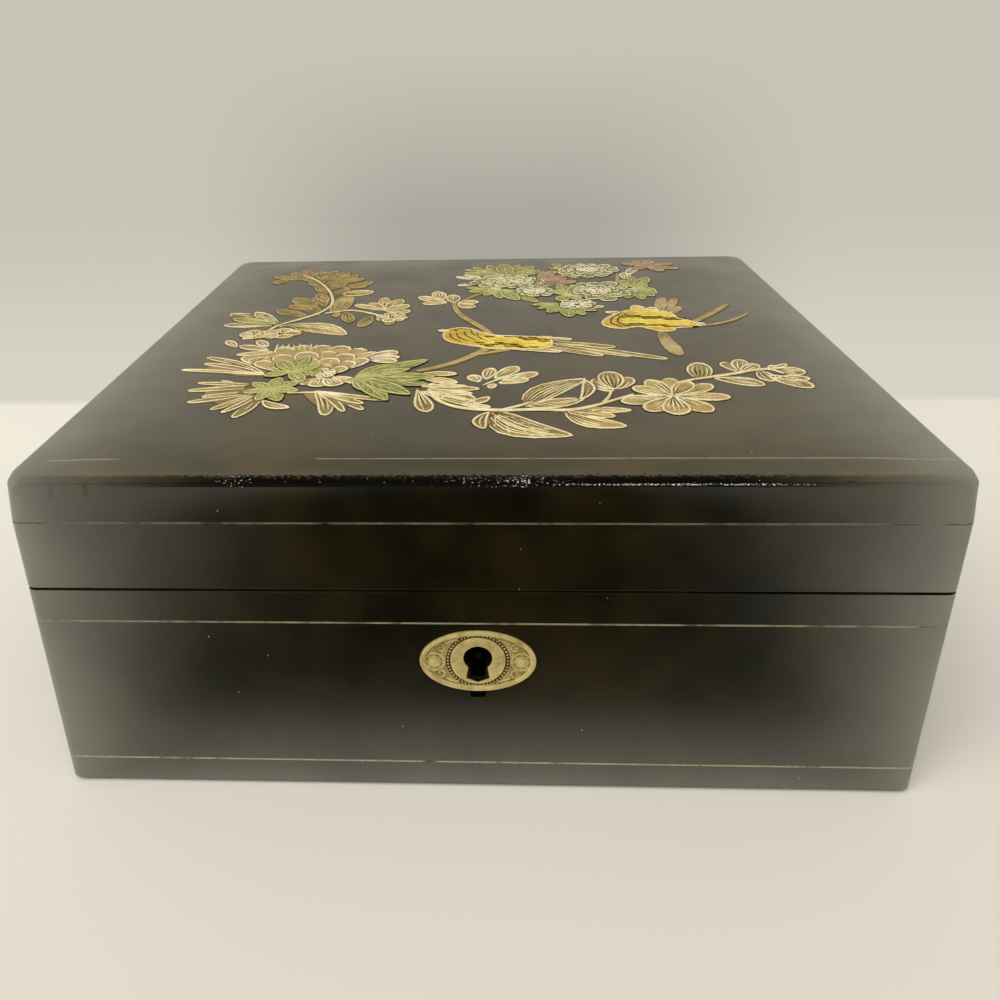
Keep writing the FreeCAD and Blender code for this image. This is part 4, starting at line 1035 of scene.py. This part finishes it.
# A round blossom, or one ring of a larger flower, and its eye: radius, count and size of the dots
def addRing(motif, middle, radius, count, turn=0, eye=None, width=1.0, wobble=0.08, layer=0, **own):
    middle = Vector(middle)
    for index in range(count):
        angle = math.radians(turn) + 2 * math.pi * (index + random.uniform(-wobble, wobble)) / count
        way = Vector((math.cos(angle), math.sin(angle)))
        reach = radius * (1 + random.uniform(-wobble, wobble))
        addPetal(motif, middle + way * radius * relief["ringStart"], middle + way * reach,
                 2 * math.pi * reach / count * width, layer=layer + 0.3 * (index % 3), **own)
    if eye:
        addDots(motif, middle, *eye)


def addStem(motif, points, width, paint="giltLine", layer=0):
    addLine(motif, smoothed(points), width, paint, layer)


# A stem or branch: a tapered ground under lines that run along it
def addBranch(motif, points, width, ground="feather", line="giltLine", layer=0):
    middle = smoothed(points)
    sides = ([], [])
    count = max(int(width / 1.05), 1)
    runs = [[] for k in range(count)]
    for index, here in enumerate(middle):
        ahead = (middle[min(index + 1, len(middle) - 1)] - middle[max(index - 1, 0)]).normalized()
        across = Vector((-ahead.y, ahead.x)) * (1 - 0.35 * index / len(middle))
        sides[0].append(here + across * (width / 2 + relief["border"]))
        sides[1].append(here - across * (width / 2 + relief["border"]))
        for run in range(count):
            share = (run + 0.5) / count * 2 - 1
            runs[run].append(here + across * share * width / 2)
    motif["grounds"].append((sides[0] + sides[1][::-1], ground, layer, "umber"))
    for run in runs:
        addLine(motif, run, width / count * random.uniform(0.8, 1.0), line, layer)


# Points of a smooth line through a few given ones
def smoothed(points, steps=5):
    ends = [Vector(p) for p in points]
    ends = [ends[0] * 2 - ends[1]] + ends + [ends[-1] * 2 - ends[-2]]
    line = []
    for a, b, c, d in zip(ends, ends[1:], ends[2:], ends[3:]):
        for k in range(steps):
            t = k / steps
            line.append(0.5 * (2 * b + (c - a) * t + (2 * a - 5 * b + 4 * c - d) * t ** 2
                               + (3 * b - 3 * c + d - a) * t ** 3))
    return line + [ends[-2]]


# A freely shaped ground, with an outline if a line's paint is given
def addShape(motif, points, ground, line, layer):
    outline = smoothed(points + points[:1], 4)[:-1]
    motif["grounds"].append((outline, ground, layer, "umber"))
    if line:
        addLine(motif, outline, 0.85, line, layer, True)


# Rows of short strokes over a bird's body, from its top down; rows below or above the first two ends
# start 6 mm later, and rows above the third one stop 6 mm earlier
def addFeathers(motif, left, right, across, low, high, up, sway=0.0, dips=(0, 0), ends=(-99, 99, 99)):
    row = 0
    y = high
    while y > low:
        x = left + (row % 2) * across / 2 + (6 if y < ends[0] or y > ends[1] else 0)
        while x < right - (6 if y > ends[2] else 0):
            top = y + (random.uniform(-sway, sway) if sway else 0)
            stroke = [(x, top), (x + across * 0.4, top - dips[0]), (x + across * 0.95, top - dips[1])]
            addStem(motif, stroke, 0.85, "umber" if (row + int(x)) % 3 == 0 else "canaryLine", 4.5)
            x += across
        y -= up
        row += 1


def isInside(point, outline):
    inside = False
    for a, b in zip(outline, outline[1:] + outline[:1]):
        if (a[1] > point[1]) != (b[1] > point[1]):
            if point[0] < (b[0] - a[0]) * (point[1] - a[1]) / (b[1] - a[1]) + a[0]:
                inside = not inside
    return inside


# Cuts each line where a ground of a higher layer lies over it
def clipLines(motif):
    covers = []
    for outline, paint, layer, shadow in motif["grounds"]:
        xs, ys = [p[0] for p in outline], [p[1] for p in outline]
        covers.append((outline, layer, min(xs), max(xs), min(ys), max(ys)))
    clipped = []
    for points, width, paint, layer, closed in motif["lines"]:
        above = [cover for cover in covers if cover[1] > layer + 0.05]
        track = list(points) + [points[0]] if closed else list(points)
        runs, run = [], []
        for point in track:
            hidden = any(left <= point[0] <= right and low <= point[1] <= high and isInside(point, outline)
                         for outline, height, left, right, low, high in above)
            if hidden:
                runs.append(run)
                run = []
            else:
                run.append(point)
        runs.append(run)
        if closed and len(runs) == 1:
            clipped.append((points, width, paint, layer, True))
        else:
            clipped += [(run, width, paint, layer, False) for run in runs if len(run) > 1]
    motif["lines"] = clipped


lidTop = BVHTree.FromObject(lidTopPiece, bpy.context.evaluated_depsgraph_get())


def lidHeight(x, y):
    return lidTop.ray_cast(Vector((x, y, 1.0)), Vector((0, 0, -1)))[0].z


# Moves all motifs together on the lid
placing = {"scale": (0.9913, 0.9945), "turn": -0.0055, "shift": (0.82, -1.62)}    # radians and mm


# Makes a motif's mesh: grounds extruded and domed, lines as pressed wires, all laid on the lid
def raiseMotif(name, motif):
    clipLines(motif)
    bm = bmesh.new()
    for outline, paint, layer, shadow in motif["grounds"]:
        verts = [bm.verts.new((p[0], p[1], layer * relief["layer"])) for p in outline]
        face = bm.faces.new(verts)
        # the ground's underside, sides and inset rim take its shadow paint: painted shade round the ground
        face.material_index = paintNames.index(shadow)
        face.normal_update()
        if face.normal.z > 0:
            face.normal_flip()
        made = bmesh.ops.extrude_face_region(bm, geom=[face], use_keep_orig=True)
        rise = [item for item in made["geom"] if isinstance(item, bmesh.types.BMVert)]
        tops = [item for item in made["geom"] if isinstance(item, bmesh.types.BMFace)]
        bmesh.ops.translate(bm, verts=rise, vec=(0, 0, relief["ground"]))
        for top in tops:
            top.normal_flip()
        bmesh.ops.inset_individual(bm, faces=tops, thickness=relief["border"], depth=relief["dome"],
                                   use_even_offset=False)
        for top in tops:
            top.material_index = paintNames.index(paint)
    bmesh.ops.triangulate(bm, faces=[face for face in bm.faces if len(face.verts) > 4])
    curve = bpy.data.curves.new("lines", "CURVE")
    curve.dimensions = "3D"
    curve.bevel_depth = 0.5
    curve.bevel_resolution = 1
    curve.use_fill_caps = True
    for paint in paintMaterials:
        curve.materials.append(paint)
    for points, width, paint, layer, closed in motif["lines"]:
        spline = curve.splines.new("POLY")
        spline.points.add(len(points) - 1)
        for index, (point, place) in enumerate(zip(spline.points, points)):
            taper = 1 if closed else 0.6 + 0.4 * math.sin(math.pi * index / max(len(points) - 1, 1))
            point.co = (place[0], place[1], layer * relief["layer"] + relief["ground"], 1)
            point.radius = width * taper
        spline.use_cyclic_u = closed
        spline.material_index = paintNames.index(paint)
    holder = bpy.data.objects.new("lines", curve)
    wires = bpy.data.meshes.new_from_object(holder)
    bm.from_mesh(wires)
    bpy.data.objects.remove(holder)
    bpy.data.meshes.remove(wires)
    bpy.data.curves.remove(curve)
    for vert in bm.verts:
        x = (placing["scale"][0] * vert.co.x - placing["turn"] * vert.co.y + placing["shift"][0]) * mm
        y = (placing["scale"][1] * vert.co.y + placing["turn"] * vert.co.x + placing["shift"][1]) * mm
        vert.co = (x, y, lidHeight(x, y) + (vert.co.z * relief["flat"] - relief["sink"]) * mm)
    piece = meshObject("ornament_" + name, bm, paintMaterials)
    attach(piece, "lid")


# Draws a motif's steps in order: a function, its look and rows of places; tuples in a look go round
# the rows
def drawMotif(name, steps):
    motif = {"grounds": [], "lines": []}
    for draw, look, rows in steps.values():
        for index, row in enumerate(rows):
            own = {key: value[index % len(value)] if isinstance(value, tuple) else value
                   for key, value in look.items()}
            draw(motif, *row, **own)
    raiseMotif(name, motif)


# Lower spray: stem with leaves, a bud, a ten-petalled flower and a curled end

lowerSpray = {
    "stems": (addBranch, {"layer": 1},
        [([(-17, -64), (-13, -74), (-6, -80), (5, -82), (15, -81.5), (24, -82), (31, -79), (37, -74.5),
           (44, -69)], 2.0),
         ([(58, -60), (62, -56.5), (68, -54), (76, -51), (83, -47.5), (89, -46), (93, -50)], 2.0),
         ([(4, -82), (10, -78.5), (14, -75)], 1.4), ([(34, -77), (37, -70), (38.5, -62)], 1.4)]),
    "hangingLeaf": (addPetal, {"full": 0.42, "blunt": 0.75, "ribs": 3},
        [((2, -83), (24.5, -101.5), 14, -0.16)]),
    "foldedLeaf": (addPetal, {"layer": 1}, [((1.5, -83.5), (0, -96.5), 5, -0.14)]),
    "longBud": (addPetal, {"full": 0.7}, [((-20.5, -64), (-16, -83.5), 6.5)]),
    "raisedLeaves": (addPetal, {"full": 0.45, "blunt": 0.7},
        [((12, -78.5), (31.5, -54), 11, 0.1), ((13, -78.5), (30, -72), 8, -0.04)]),
    "curledTip": (addPetal, {"layer": 2}, [((28.5, -73), (31.5, -56), 5, -0.08)]),
    "forkedLeaf": (addPetal, {"full": 0.5, "ground": "paleGilt"},
        [((23.5, -82.5), (42.5, -82), 6, 0.02), ((23.5, -83), (39.5, -95), 9, -0.13),
         ((24, -82.5), (37.5, -87), 7)]),
    "bud": (addPetal, {"full": 0.62, "blunt": 0.45, "layer": (1, 1.4, 1.8, 2.2)},
        [((38.5, -66), (33, -60), 5.5), ((38, -64), (34, -54), 6.5), ((40, -64), (45, -53), 7),
         ((39, -64), (39, -47.5), 9)]),
    "flower": (addFan, {"full": 0.66, "blunt": 0.55, "ground": "paleGilt", "layer": 2},
        [((55.5, -70.5), [(72.5, -71.5, 7.5), (69, -60, 8), (62.5, -57, 7.5), (57, -54, 7.5),
                          (50, -55.5, 7.5), (44.5, -62, 7.5), (39.5, -75.5, 8.5), (46.5, -83.5, 8.5),
                          (54.5, -86.3, 9), (64.5, -84, 8.5)])]),
    "flowerEye": (addDots, {"paint": ("giltLine", "umber"), "layer": 6},
        [((55.5, -70.5), 1.7, 9, 0.9), ((55.5, -70.5), 0.5, 3, 0.8)]),
    "oval": (addPetal, {"full": 0.55, "blunt": 0.5}, [((66.5, -55), (68.8, -38.5), 9)]),
    "blossom": (addFan, {"full": 0.68, "blunt": 0.45},
        [((80, -48.5), [(76.5, -38, 6), (82.5, -35.5, 6.5), (87, -40.5, 6)])]),
    "lowLeaf": (addPetal, {}, [((71, -54.5), (85, -61), 8, 0.05)]),
    "end": (addPetal, {"blunt": 0.5},
        [((90, -47), (100.5, -48.5), 9), ((91, -45), (96.5, -40.5), 3.4), ((89.5, -45), (92.5, -42), 3.4),
         ((88, -52), (98.5, -63.5), 8), ((86, -47), (87.5, -58), 6.5), ((90, -54), (100, -55), 6)]),
    "sprigStem": (addStem, {"layer": 1}, [([(-0.5, -60), (5, -54), (12, -49)], 1.0)]),
    "sprig": (addFan, {"start": 0.35, "cycle": 1, "full": 0.62, "blunt": 0.5, "ground": "paleGilt"},
        [((-0.5, -60), [(-4.5, -50, 5.5), (2, -43, 5.5), (10.5, -41.5, 6.5), (17, -48, 6.5), (14, -54, 6),
                        (4, -61.5, 5)])]),
    "curls": (addPetal, {"layer": 1},
        [((-19, -61), (-9, -57.5), 5), ((-14, -66), (-3, -68), 4.5), ((-19, -66), (-12, -72), 4.5, 0.1),
         ((-20, -60), (-5, -61), 4, -0.03), ((-17, -63), (-1, -63.5), 5, 0.02),
         ((-17, -66), (-2, -73), 6.5, 0.06), ((-15, -69), (-1, -79), 6, 0.04),
         ((-6, -77), (2, -70.5), 4.5, -0.08), ((-5, -78), (2.5, -79.5), 4)]),
}
drawMotif("lower_spray", lowerSpray)


# Peony group: rows of cream scallops, green leaves and fans of long blades

peonyGroup = {
    "webs": (addShape, {"ground": "giltGround", "line": None, "layer": -1},
        [([(-70, -46), (-84, -34), (-90, -38), (-92, -43), (-76, -51)],),
         ([(-69, -56), (-82, -57), (-86, -64), (-84, -71), (-77, -78), (-72, -80), (-66, -70)],),
         ([(-56, -66), (-49, -78), (-42, -79), (-37, -75), (-44, -66)],)]),
    "fans": (addFan, {"rise": 0.4, "cycle": 9, "full": 0.64, "blunt": 0.42},
        [((-71, -49), [(-95.5, -30, 4.6, -0.07), (-94.5, -37, 4.2, -0.05), (-100.5, -43.5, 3.4, -0.02)]),
         ((-69, -60), [(-84, -55, 3.4, 0.05), (-91, -57, 3.6, -0.02), (-92, -64.5, 4.4, 0.0)]),
         ((-68, -64), [(-89, -75, 4.4, 0.03), (-86, -70, 4.2, 0.03), (-80, -81.5, 4.2, 0.04),
                       (-71.5, -88, 5.0, 0.05), (-76, -84, 3.4, 0.05)]),
         ((-51.5, -65), [(-45, -86, 5.6, 0.06), (-34.5, -81.5, 4.2, 0.04), (-40, -83, 3.6, 0.05),
                         (-35, -76.5, 4.0, 0.0), (-28, -73.5, 3.8, -0.02)])]),
    "rows": (addFan, {"full": 0.8, "blunt": 0.4, "ground": ("paleGilt", "cream"), "line": "creamLine",
                      "layer": (0.5, 1.7, 2.9, 4.1, 3.0), "faint": "giltLine"},
        [((-55, -54), [(-83, -29, 8), (-79, -22.5, 9), (-72, -18.5, 9), (-65, -16.5, 9.5),
                       (-57.5, -16.5, 10), (-50, -17.5, 10), (-43, -20.5, 9.5), (-37, -25, 8)]),
         ((-54, -54), [(-77, -35, 8), (-71, -28, 9), (-62.5, -24.5, 9.5), (-54, -24, 9.5), (-46.5, -27, 9),
                       (-40, -32, 8)]),
         ((-53, -54), [(-68, -37, 8), (-60.5, -32, 8.5), (-52, -31.5, 8.5), (-44.5, -35, 8)]),
         ((-52.5, -54), [(-60, -42, 6.5), (-53, -39, 7), (-46, -41, 6.5)]),
         ((-52, -50), [(-58, -59, 6.5), (-52, -61.5, 7), (-45.5, -60.5, 7), (-41, -56, 6)])]),
    "leftLeaves": (addPetal, {"layer": 1},
        [((-74, -25), (-86, -28), 5), ((-76, -22), (-87.5, -17), 6), ((-77, -18), (-82, -10.5), 5),
         ((-74, -30), (-80, -36), 5), ((-88, -18), (-93.5, -10.5), 4.5)]),
    "stamens": (addStem, {"layer": 3},
        [([(x, -22), (x - 0.8, -15.5 - index % 2)], 0.7)
         for index, x in enumerate(range(-73, -58, 2))]),
    "heart": (addRing, {"full": 0.7, "blunt": 0.45, "ground": "rose", "line": "creamLine", "layer": 5.2},
        [((-52, -48), 4.6, 7, 50)]),
    "tulip": (addFan, {"full": 0.7, "blunt": 0.45, "ground": "paleGilt", "line": "creamLine", "layer": 1},
        [((-42, -33), [(-30, -24.5, 7), (-28.5, -31, 5), (-29, -36, 6)])]),
    "greens": (addFan, {"full": 0.55, "blunt": 0.75, "rays": False, "ribs": 4, "ground": "leafGreen",
                        "line": "leafLine", "layer": 6.4, "thick": 0.8},
        [((-63, -46), [(-60, -29, 6), (-69, -34, 6.5), (-54, -39, 6), (-52, -48, 6.5), (-57, -57, 6),
                       (-71, -51, 6)]),
         ((-66, -63), [(-65, -52, 5.5), (-58, -56, 6), (-56.5, -65, 6), (-61, -74.5, 6), (-68, -74, 5),
                       (-74, -67, 5), (-73, -57, 5.5)]),
         ((-41, -52), [(-31, -39, 7), (-19, -34.5, 8), (-24, -44, 6), (-36, -66, 6), (-28.5, -74, 7),
                       (-22, -69, 8), (-17, -60, 8), (-15.5, -52, 9)])]),
    "fold": (addPetal, {"layer": 2}, [((-66, -73.5), (-56.5, -80), 5, -0.12)]),
    "frontLeaves": (addPetal, {"ground": "paleGilt", "layer": 5},
        [((-21, -49), (-8.5, -49.5), 5), ((-21, -52), (-8, -58.5), 6)]),
    "bands": (addStem, {"layer": 6},
        [([(-60, -67), (-52, -66.5), (-46, -67.5), (-40, -69)], 1.1),
         ([(-78, -47), (-70, -48), (-62, -52)], 1.1), ([(-44, -56), (-40, -60), (-36, -67)], 1.1)]),
}
drawMotif("peony_group", peonyGroup)


# Left spray: broad leaf, folded leaf, small blossoms, berries and the tall tapering spray above them

leftSpray = {
    "stems": (addBranch, {"layer": 1},
        [([(-88, -9), (-82, 0), (-79, 9), (-72, 18), (-66, 27), (-63.5, 40), (-66, 55), (-71, 70),
           (-78, 84), (-85, 92)], 1.8), ([(-64, 26), (-55, 30), (-48, 27), (-42, 22), (-38, 19)], 1.3)]),
    "broadLeaf": (addFan, {"full": 0.62, "blunt": 0.6},
        [((-79, 10), [(-102, 27, 10), (-92, 29, 7), (-100.5, 10, 8)])]),
    "greenLeaf": (addPetal, {"ground": "leafGreen", "line": "leafLine", "layer": 2},
        [((-80, 11), (-99, 19), 7)]),
    "foldedLeaf": (addPetal, {"ribs": 3, "full": 0.5, "blunt": 0.7, "ground": "paleGilt"},
        [((-78, 8), (-50.5, -4), 13, 0.13)]),
    "blossoms": (addRing, {"width": 0.8, "ground": "paleGilt", "layer": 1},
        [((-75.5, -2), 7.5, 5, 10, (0.8, 3, 0.8)), ((-85, -3), 6, 5, 40, (0.8, 3, 0.8))]),
    "berry": (addRing, {"width": 0.9, "layer": 1}, [((-37, 19), 7.0, 7, 0, (0.9, 4, 1.1))]),
    "drops": (addPetal, {"layer": 1, "line": "paleGilt"},
        [((-56, 27), (-52, 12), 6), ((-45, 21), (-47.5, 5.5), 6), ((-59, 27), (-59, 20), 4),
         ((-37, 15), (-37, 8.5), 5)]),
    "cluster": (addFan, {"full": 0.66, "blunt": 0.5, "ground": "paleGilt", "layer": 1},
        [((-41, 30), [(-43, 50, 6), (-35.5, 47, 7), (-31.5, 38, 7), (-30, 27, 7), (-48, 42, 6),
                      (-54, 39, 6)])]),
    "block": (addPetal, {"full": 0.55, "blunt": 0.3, "ground": "paleGilt", "line": "paleGilt", "layer": 1},
        [((-60, 27), (-58.5, 53), 9)]),
    "sideLeaves": (addPetal, {"line": "paleGilt"},
        [((-70, 21), (-84.5, 32), 8), ((-69, 36), (-81, 51), 9), ((-70, 32), (-81, 39), 7),
         ((-66, 24), (-74, 40), 8), ((-66, 38), (-72, 54), 7)]),
    "roundLeaf": (addPetal, {"full": 0.5, "blunt": 0.55, "ground": "paleGilt"},
        [((-61, 56), (-48.5, 61), 10)]),
    "filling": (addPetal, {"blunt": 0.5, "line": "paleGilt"},
        [((-66, 53), (-60, 66), 6), ((-68, 58), (-75, 71), 6), ((-69, 64), (-63, 78), 6),
         ((-72, 70), (-80, 80), 6), ((-71, 70), (-67, 85), 6), ((-75, 78), (-72, 90), 6),
         ((-77, 80), (-84, 88), 6), ((-66, 44), (-72, 58), 6)]),
    "tall": (addPetal, {"full": 0.66, "blunt": 0.5, "layer": 1, "line": "paleGilt"},
        [((-62, 66), (-51.5, 79), 7), ((-63, 68), (-52.5, 70), 5), ((-66, 78), (-56, 85), 7),
         ((-68, 80), (-60, 93), 7), ((-70, 84), (-65, 99), 6), ((-73, 86), (-71.5, 101), 6),
         ((-76, 86), (-78, 100), 7), ((-80, 88), (-86, 104), 5.5), ((-82, 86), (-91, 98), 7),
         ((-84, 84), (-98, 91), 8), ((-90, 85), (-95.5, 76.5), 6)]),
}
drawMotif("left_spray", leftSpray)


# Perched bird on its branch, which ends in a few leaves

perchedBird = {
    "branches": (addBranch, {"line": "paleGilt"},
        [([(1.5, -6), (-1, 2), (-6, 12), (-10.5, 22), (-13, 32), (-14, 41)], 2.8),
         ([(0, -22), (-3.5, -28), (-9, -36), (-15.5, -42), (-22, -46)], 3.2),
         ([(8, -23.5), (3, -26), (-2.5, -29)], 2.0), ([(-12.5, 39), (-8, 48), (-3, 56)], 1.8)]),
    "leaves": (addPetal, {"ground": "paleGilt", "layer": 1},
        [((-17, 41), (-29, 51.5), 8), ((-19, 46), (-22, 60), 7), ((-17, 41), (-27, 39.5), 6),
         ((-14, 41), (-15, 54), 7), ((-12, 41), (-3.5, 41.5), 7), ((-12, 38), (-5, 32.5), 7)]),
    "tail": (addPetal, {"blunt": 0.3, "layer": 1, "thick": 0.8},
        [((17, -13), (44.5, -21.5), 5), ((16, -18), (39.5, -31.2), 4.5), ((18, -16), (48.5, -31.8), 4.2),
         ((20, -14.5), (60, -35.2), 4.6)]),
    "wings": (addPetal, {"full": 0.5, "blunt": 0.32, "ground": "feather", "layer": 2},
        [((1, -6.8), (30.5, -12), 5, -0.02), ((3, -20.5), (26, -26.5), 4.5, 0.02)]),
    "body": (addShape, {"ground": "canary", "line": "giltLine", "layer": 3},
        [([(-15, 0.8), (-10.5, 3.6), (-6, 2.4), (-2, -2.5), (2, -5.8), (10, -8), (18, -9), (22.5, -12),
           (22, -20), (18, -23.2), (10, -22.8), (3, -22.6), (-2, -20), (-7, -17.6), (-12.5, -14.2),
           (-15.2, -9), (-15.6, -3.5)],)]),
    "beak": (addPetal, {"rays": False, "ground": "cream", "line": "creamLine", "layer": 3},
        [((-14, 0), (-18.5, 0.2), 3)]),
    "head": (addStem, {"paint": "umber", "layer": 4.5},
        [([(-13.4, -3), (-12.6, -8.5), (-9, -14)], 0.6), ([(-11, -3.5), (-10, -8.5), (-6.4, -13.5)], 0.6),
         ([(-8.4, -1), (-7.4, -6.5), (-4, -12)], 0.6), ([(-6, 0.5), (-5, -4.5), (-1.8, -10.5)], 0.6),
         ([(-13.6, 0.2), (-9.6, 2.4), (-5.6, 1.4)], 0.6), ([(-3.6, -3), (-3, -7.5), (0, -14)], 0.6)]),
    "eye": (addDots, {"layer": 7}, [((-11.4, -0.4), 0.0, 1, 1.2)]),
    "feathers": (addFeathers, {"sway": 0.5, "dips": [0.8, 0.5]}, [(-4, 21, 3.4, -21.5, -7.5, 1.9)]),
}
drawMotif("perched_bird", perchedBird)


# Flying bird with a raised wing, a long lower wing and two tail streamers

flyingBird = {
    "lowWing": (addPetal, {"full": 0.72, "blunt": 0.45, "ground": "feather", "line": "paleGilt"},
        [((62, 4), (64.3, -31.5), 6.5, -0.02)]),
    "wing": (addPetal, {"full": 0.7, "blunt": 0.35, "ground": "feather", "line": "paleGilt"},
        [((64, 19), (70, 46.5), 5.5), ((66, 19), (75, 45), 5), ((68, 18), (74.5, 32), 5)]),
    "crest": (addPetal, {"ground": "canary", "layer": 1},
        [((60, 22), (57, 34.5), 7), ((63, 22), (63.5, 31.5), 6)]),
    "streamers": (addBranch, {"line": "paleGilt", "layer": 1},
        [([(74, 8), (80, 15), (86, 23), (91, 31), (93.5, 35)], 3.0),
         ([(74, 4), (83, 6.5), (91, 12), (98, 21)], 2.0)]),
    "tailFeet": (addPetal, {"ground": "feather", "line": "creamLine", "layer": 1}, [((72, 6), (80, 7), 6)]),
    "beak": (addPetal, {"rays": False, "ground": "rose", "line": "creamLine", "layer": 1},
        [((53, 23), (44.5, 24.5), 4)]),
    "body": (addShape, {"ground": "canary", "line": "giltLine", "layer": 3},
        [([(53, 26), (47.5, 20), (43.5, 13), (42.5, 7), (45, 3), (50, 1.6), (55, 4), (58, 1.5), (62, -2),
           (66.5, -2), (68.5, 2), (74, 3), (77, 6.5), (74, 12), (71, 15), (70, 20), (66, 25), (62, 27),
           (57.5, 28)],)]),
    "head": (addStem, {"paint": "umber", "layer": 4.5},
        [([(51, 23), (46.5, 15), (46, 8), (49, 4)], 0.7), ([(53, 22), (49, 15), (48.6, 9), (51, 5)], 0.7)]),
    "eye": (addDots, {"layer": 7}, [((49.6, 18.6), 0.0, 1, 1.2)]),
    "feathers": (addFeathers, {"dips": [0.9, 0.3], "ends": [5, 20, 16]}, [(50, 74, 3.2, 3.0, 25, 1.9)]),
}
drawMotif("flying_bird", flyingBird)


# Upper bouquet: crowded flowers and green leaves at the back

bouquet = {
    "stems": (addBranch, {"line": "paleGilt"},
        [([(53, 60), (55, 74), (57, 90)], 2.2), ([(20, 40), (26, 37), (30, 36)], 2.2)]),
    "roses": (addFan, {"full": 0.62, "blunt": 0.5, "ground": "rose", "line": "feather", "layer": (1, 2, 3)},
        [((23, 68), [(24, 96, 6), (28, 98, 6), (32, 88, 6), (34, 83, 5), (38, 77, 7), (25, 52, 7)]),
         ((71, 105), [(61, 112, 7), (67, 117, 6), (75, 118, 7), (84.5, 109, 7), (85.5, 98, 6), (78, 93, 6),
                      (66, 98, 7)]), ((71, 105), [(66, 107, 5), (73, 111, 5), (79, 106, 5), (75, 99, 5)])]),
    "tips": (addPetal, {"ground": "cream", "line": "creamLine"},
        [((-3, 80), (-15.5, 87), 5), ((-4, 74), (-14, 70), 5), ((-3, 84), (-12, 91), 4),
         ((40, 33), (46, 33), 4), ((60, 78), (60, 92), 6), ((61, 88), (67, 104), 6),
         ((63, 57), (70, 55), 4)]),
    "greens": (addFan, {"rays": False, "ribs": 4, "full": 0.58, "blunt": 0.7, "ground": "leafGreen",
                        "line": "leafLine", "layer": (0, 2, 4, 4, 2, 2), "thick": 0.85},
        [((8, 86), [(-8, 106, 9), (-1, 111, 8), (6, 113, 9), (13, 111, 8), (20, 107, 9), (-12, 95, 8),
                    (-12, 101, 6), (23, 98, 8)]),
         ((5, 62), [(-2, 78, 7), (-10, 66, 6), (-9, 59, 7), (-2, 52, 7), (5, 47, 7), (12, 43.5, 7),
                    (20, 40.5, 7), (16, 52, 7)]),
         ((33, 52), [(30, 70, 7), (38, 68, 7), (25, 60, 6), (28, 42, 7), (37, 44, 6)]),
         ((31, 36), [(17, 36, 6), (19, 30, 6), (23, 24, 7), (31, 17.5, 7), (37, 20, 6), (42, 26, 7)]),
         ((36, 98), [(29, 112, 7), (27, 104, 6), (28.5, 92, 7), (33, 84, 6), (38, 81, 7)]),
         ((61, 64), [(56, 45, 7), (62, 43, 6), (67, 48, 7), (69.5, 57, 7), (67, 70, 7), (69, 82, 7),
                     (62, 84, 6), (57, 77, 7)])]),
    "creams": (addRing, {"width": 0.95, "full": 0.74, "blunt": 0.42, "wobble": 0.16,
                         "ground": ("leafGreen", "paleGilt", "leafGreen"), "line": "creamLine",
                         "layer": (2, 4, 6, 4, 6, 3, 5, 7, 3, 5, 7, 6), "thick": 0.85},
        [((8, 77), 15.0, 13, 0), ((8, 77), 10.5, 11, 23), ((8, 77), 6.5, 8, 46), ((19, 58), 8.5, 9, 69),
         ((19, 58), 5.0, 6, 92), ((45, 58), 15.5, 13, 115), ((45, 58), 10.5, 11, 138),
         ((45, 58), 6.0, 8, 161), ((44, 98), 15.0, 13, 184), ((44, 98), 9.5, 10, 207),
         ((44, 98), 5.0, 6, 230), ((35, 36), 8.0, 9, 253)]),
}
drawMotif("upper_bouquet", bouquet)
print("ornament made")
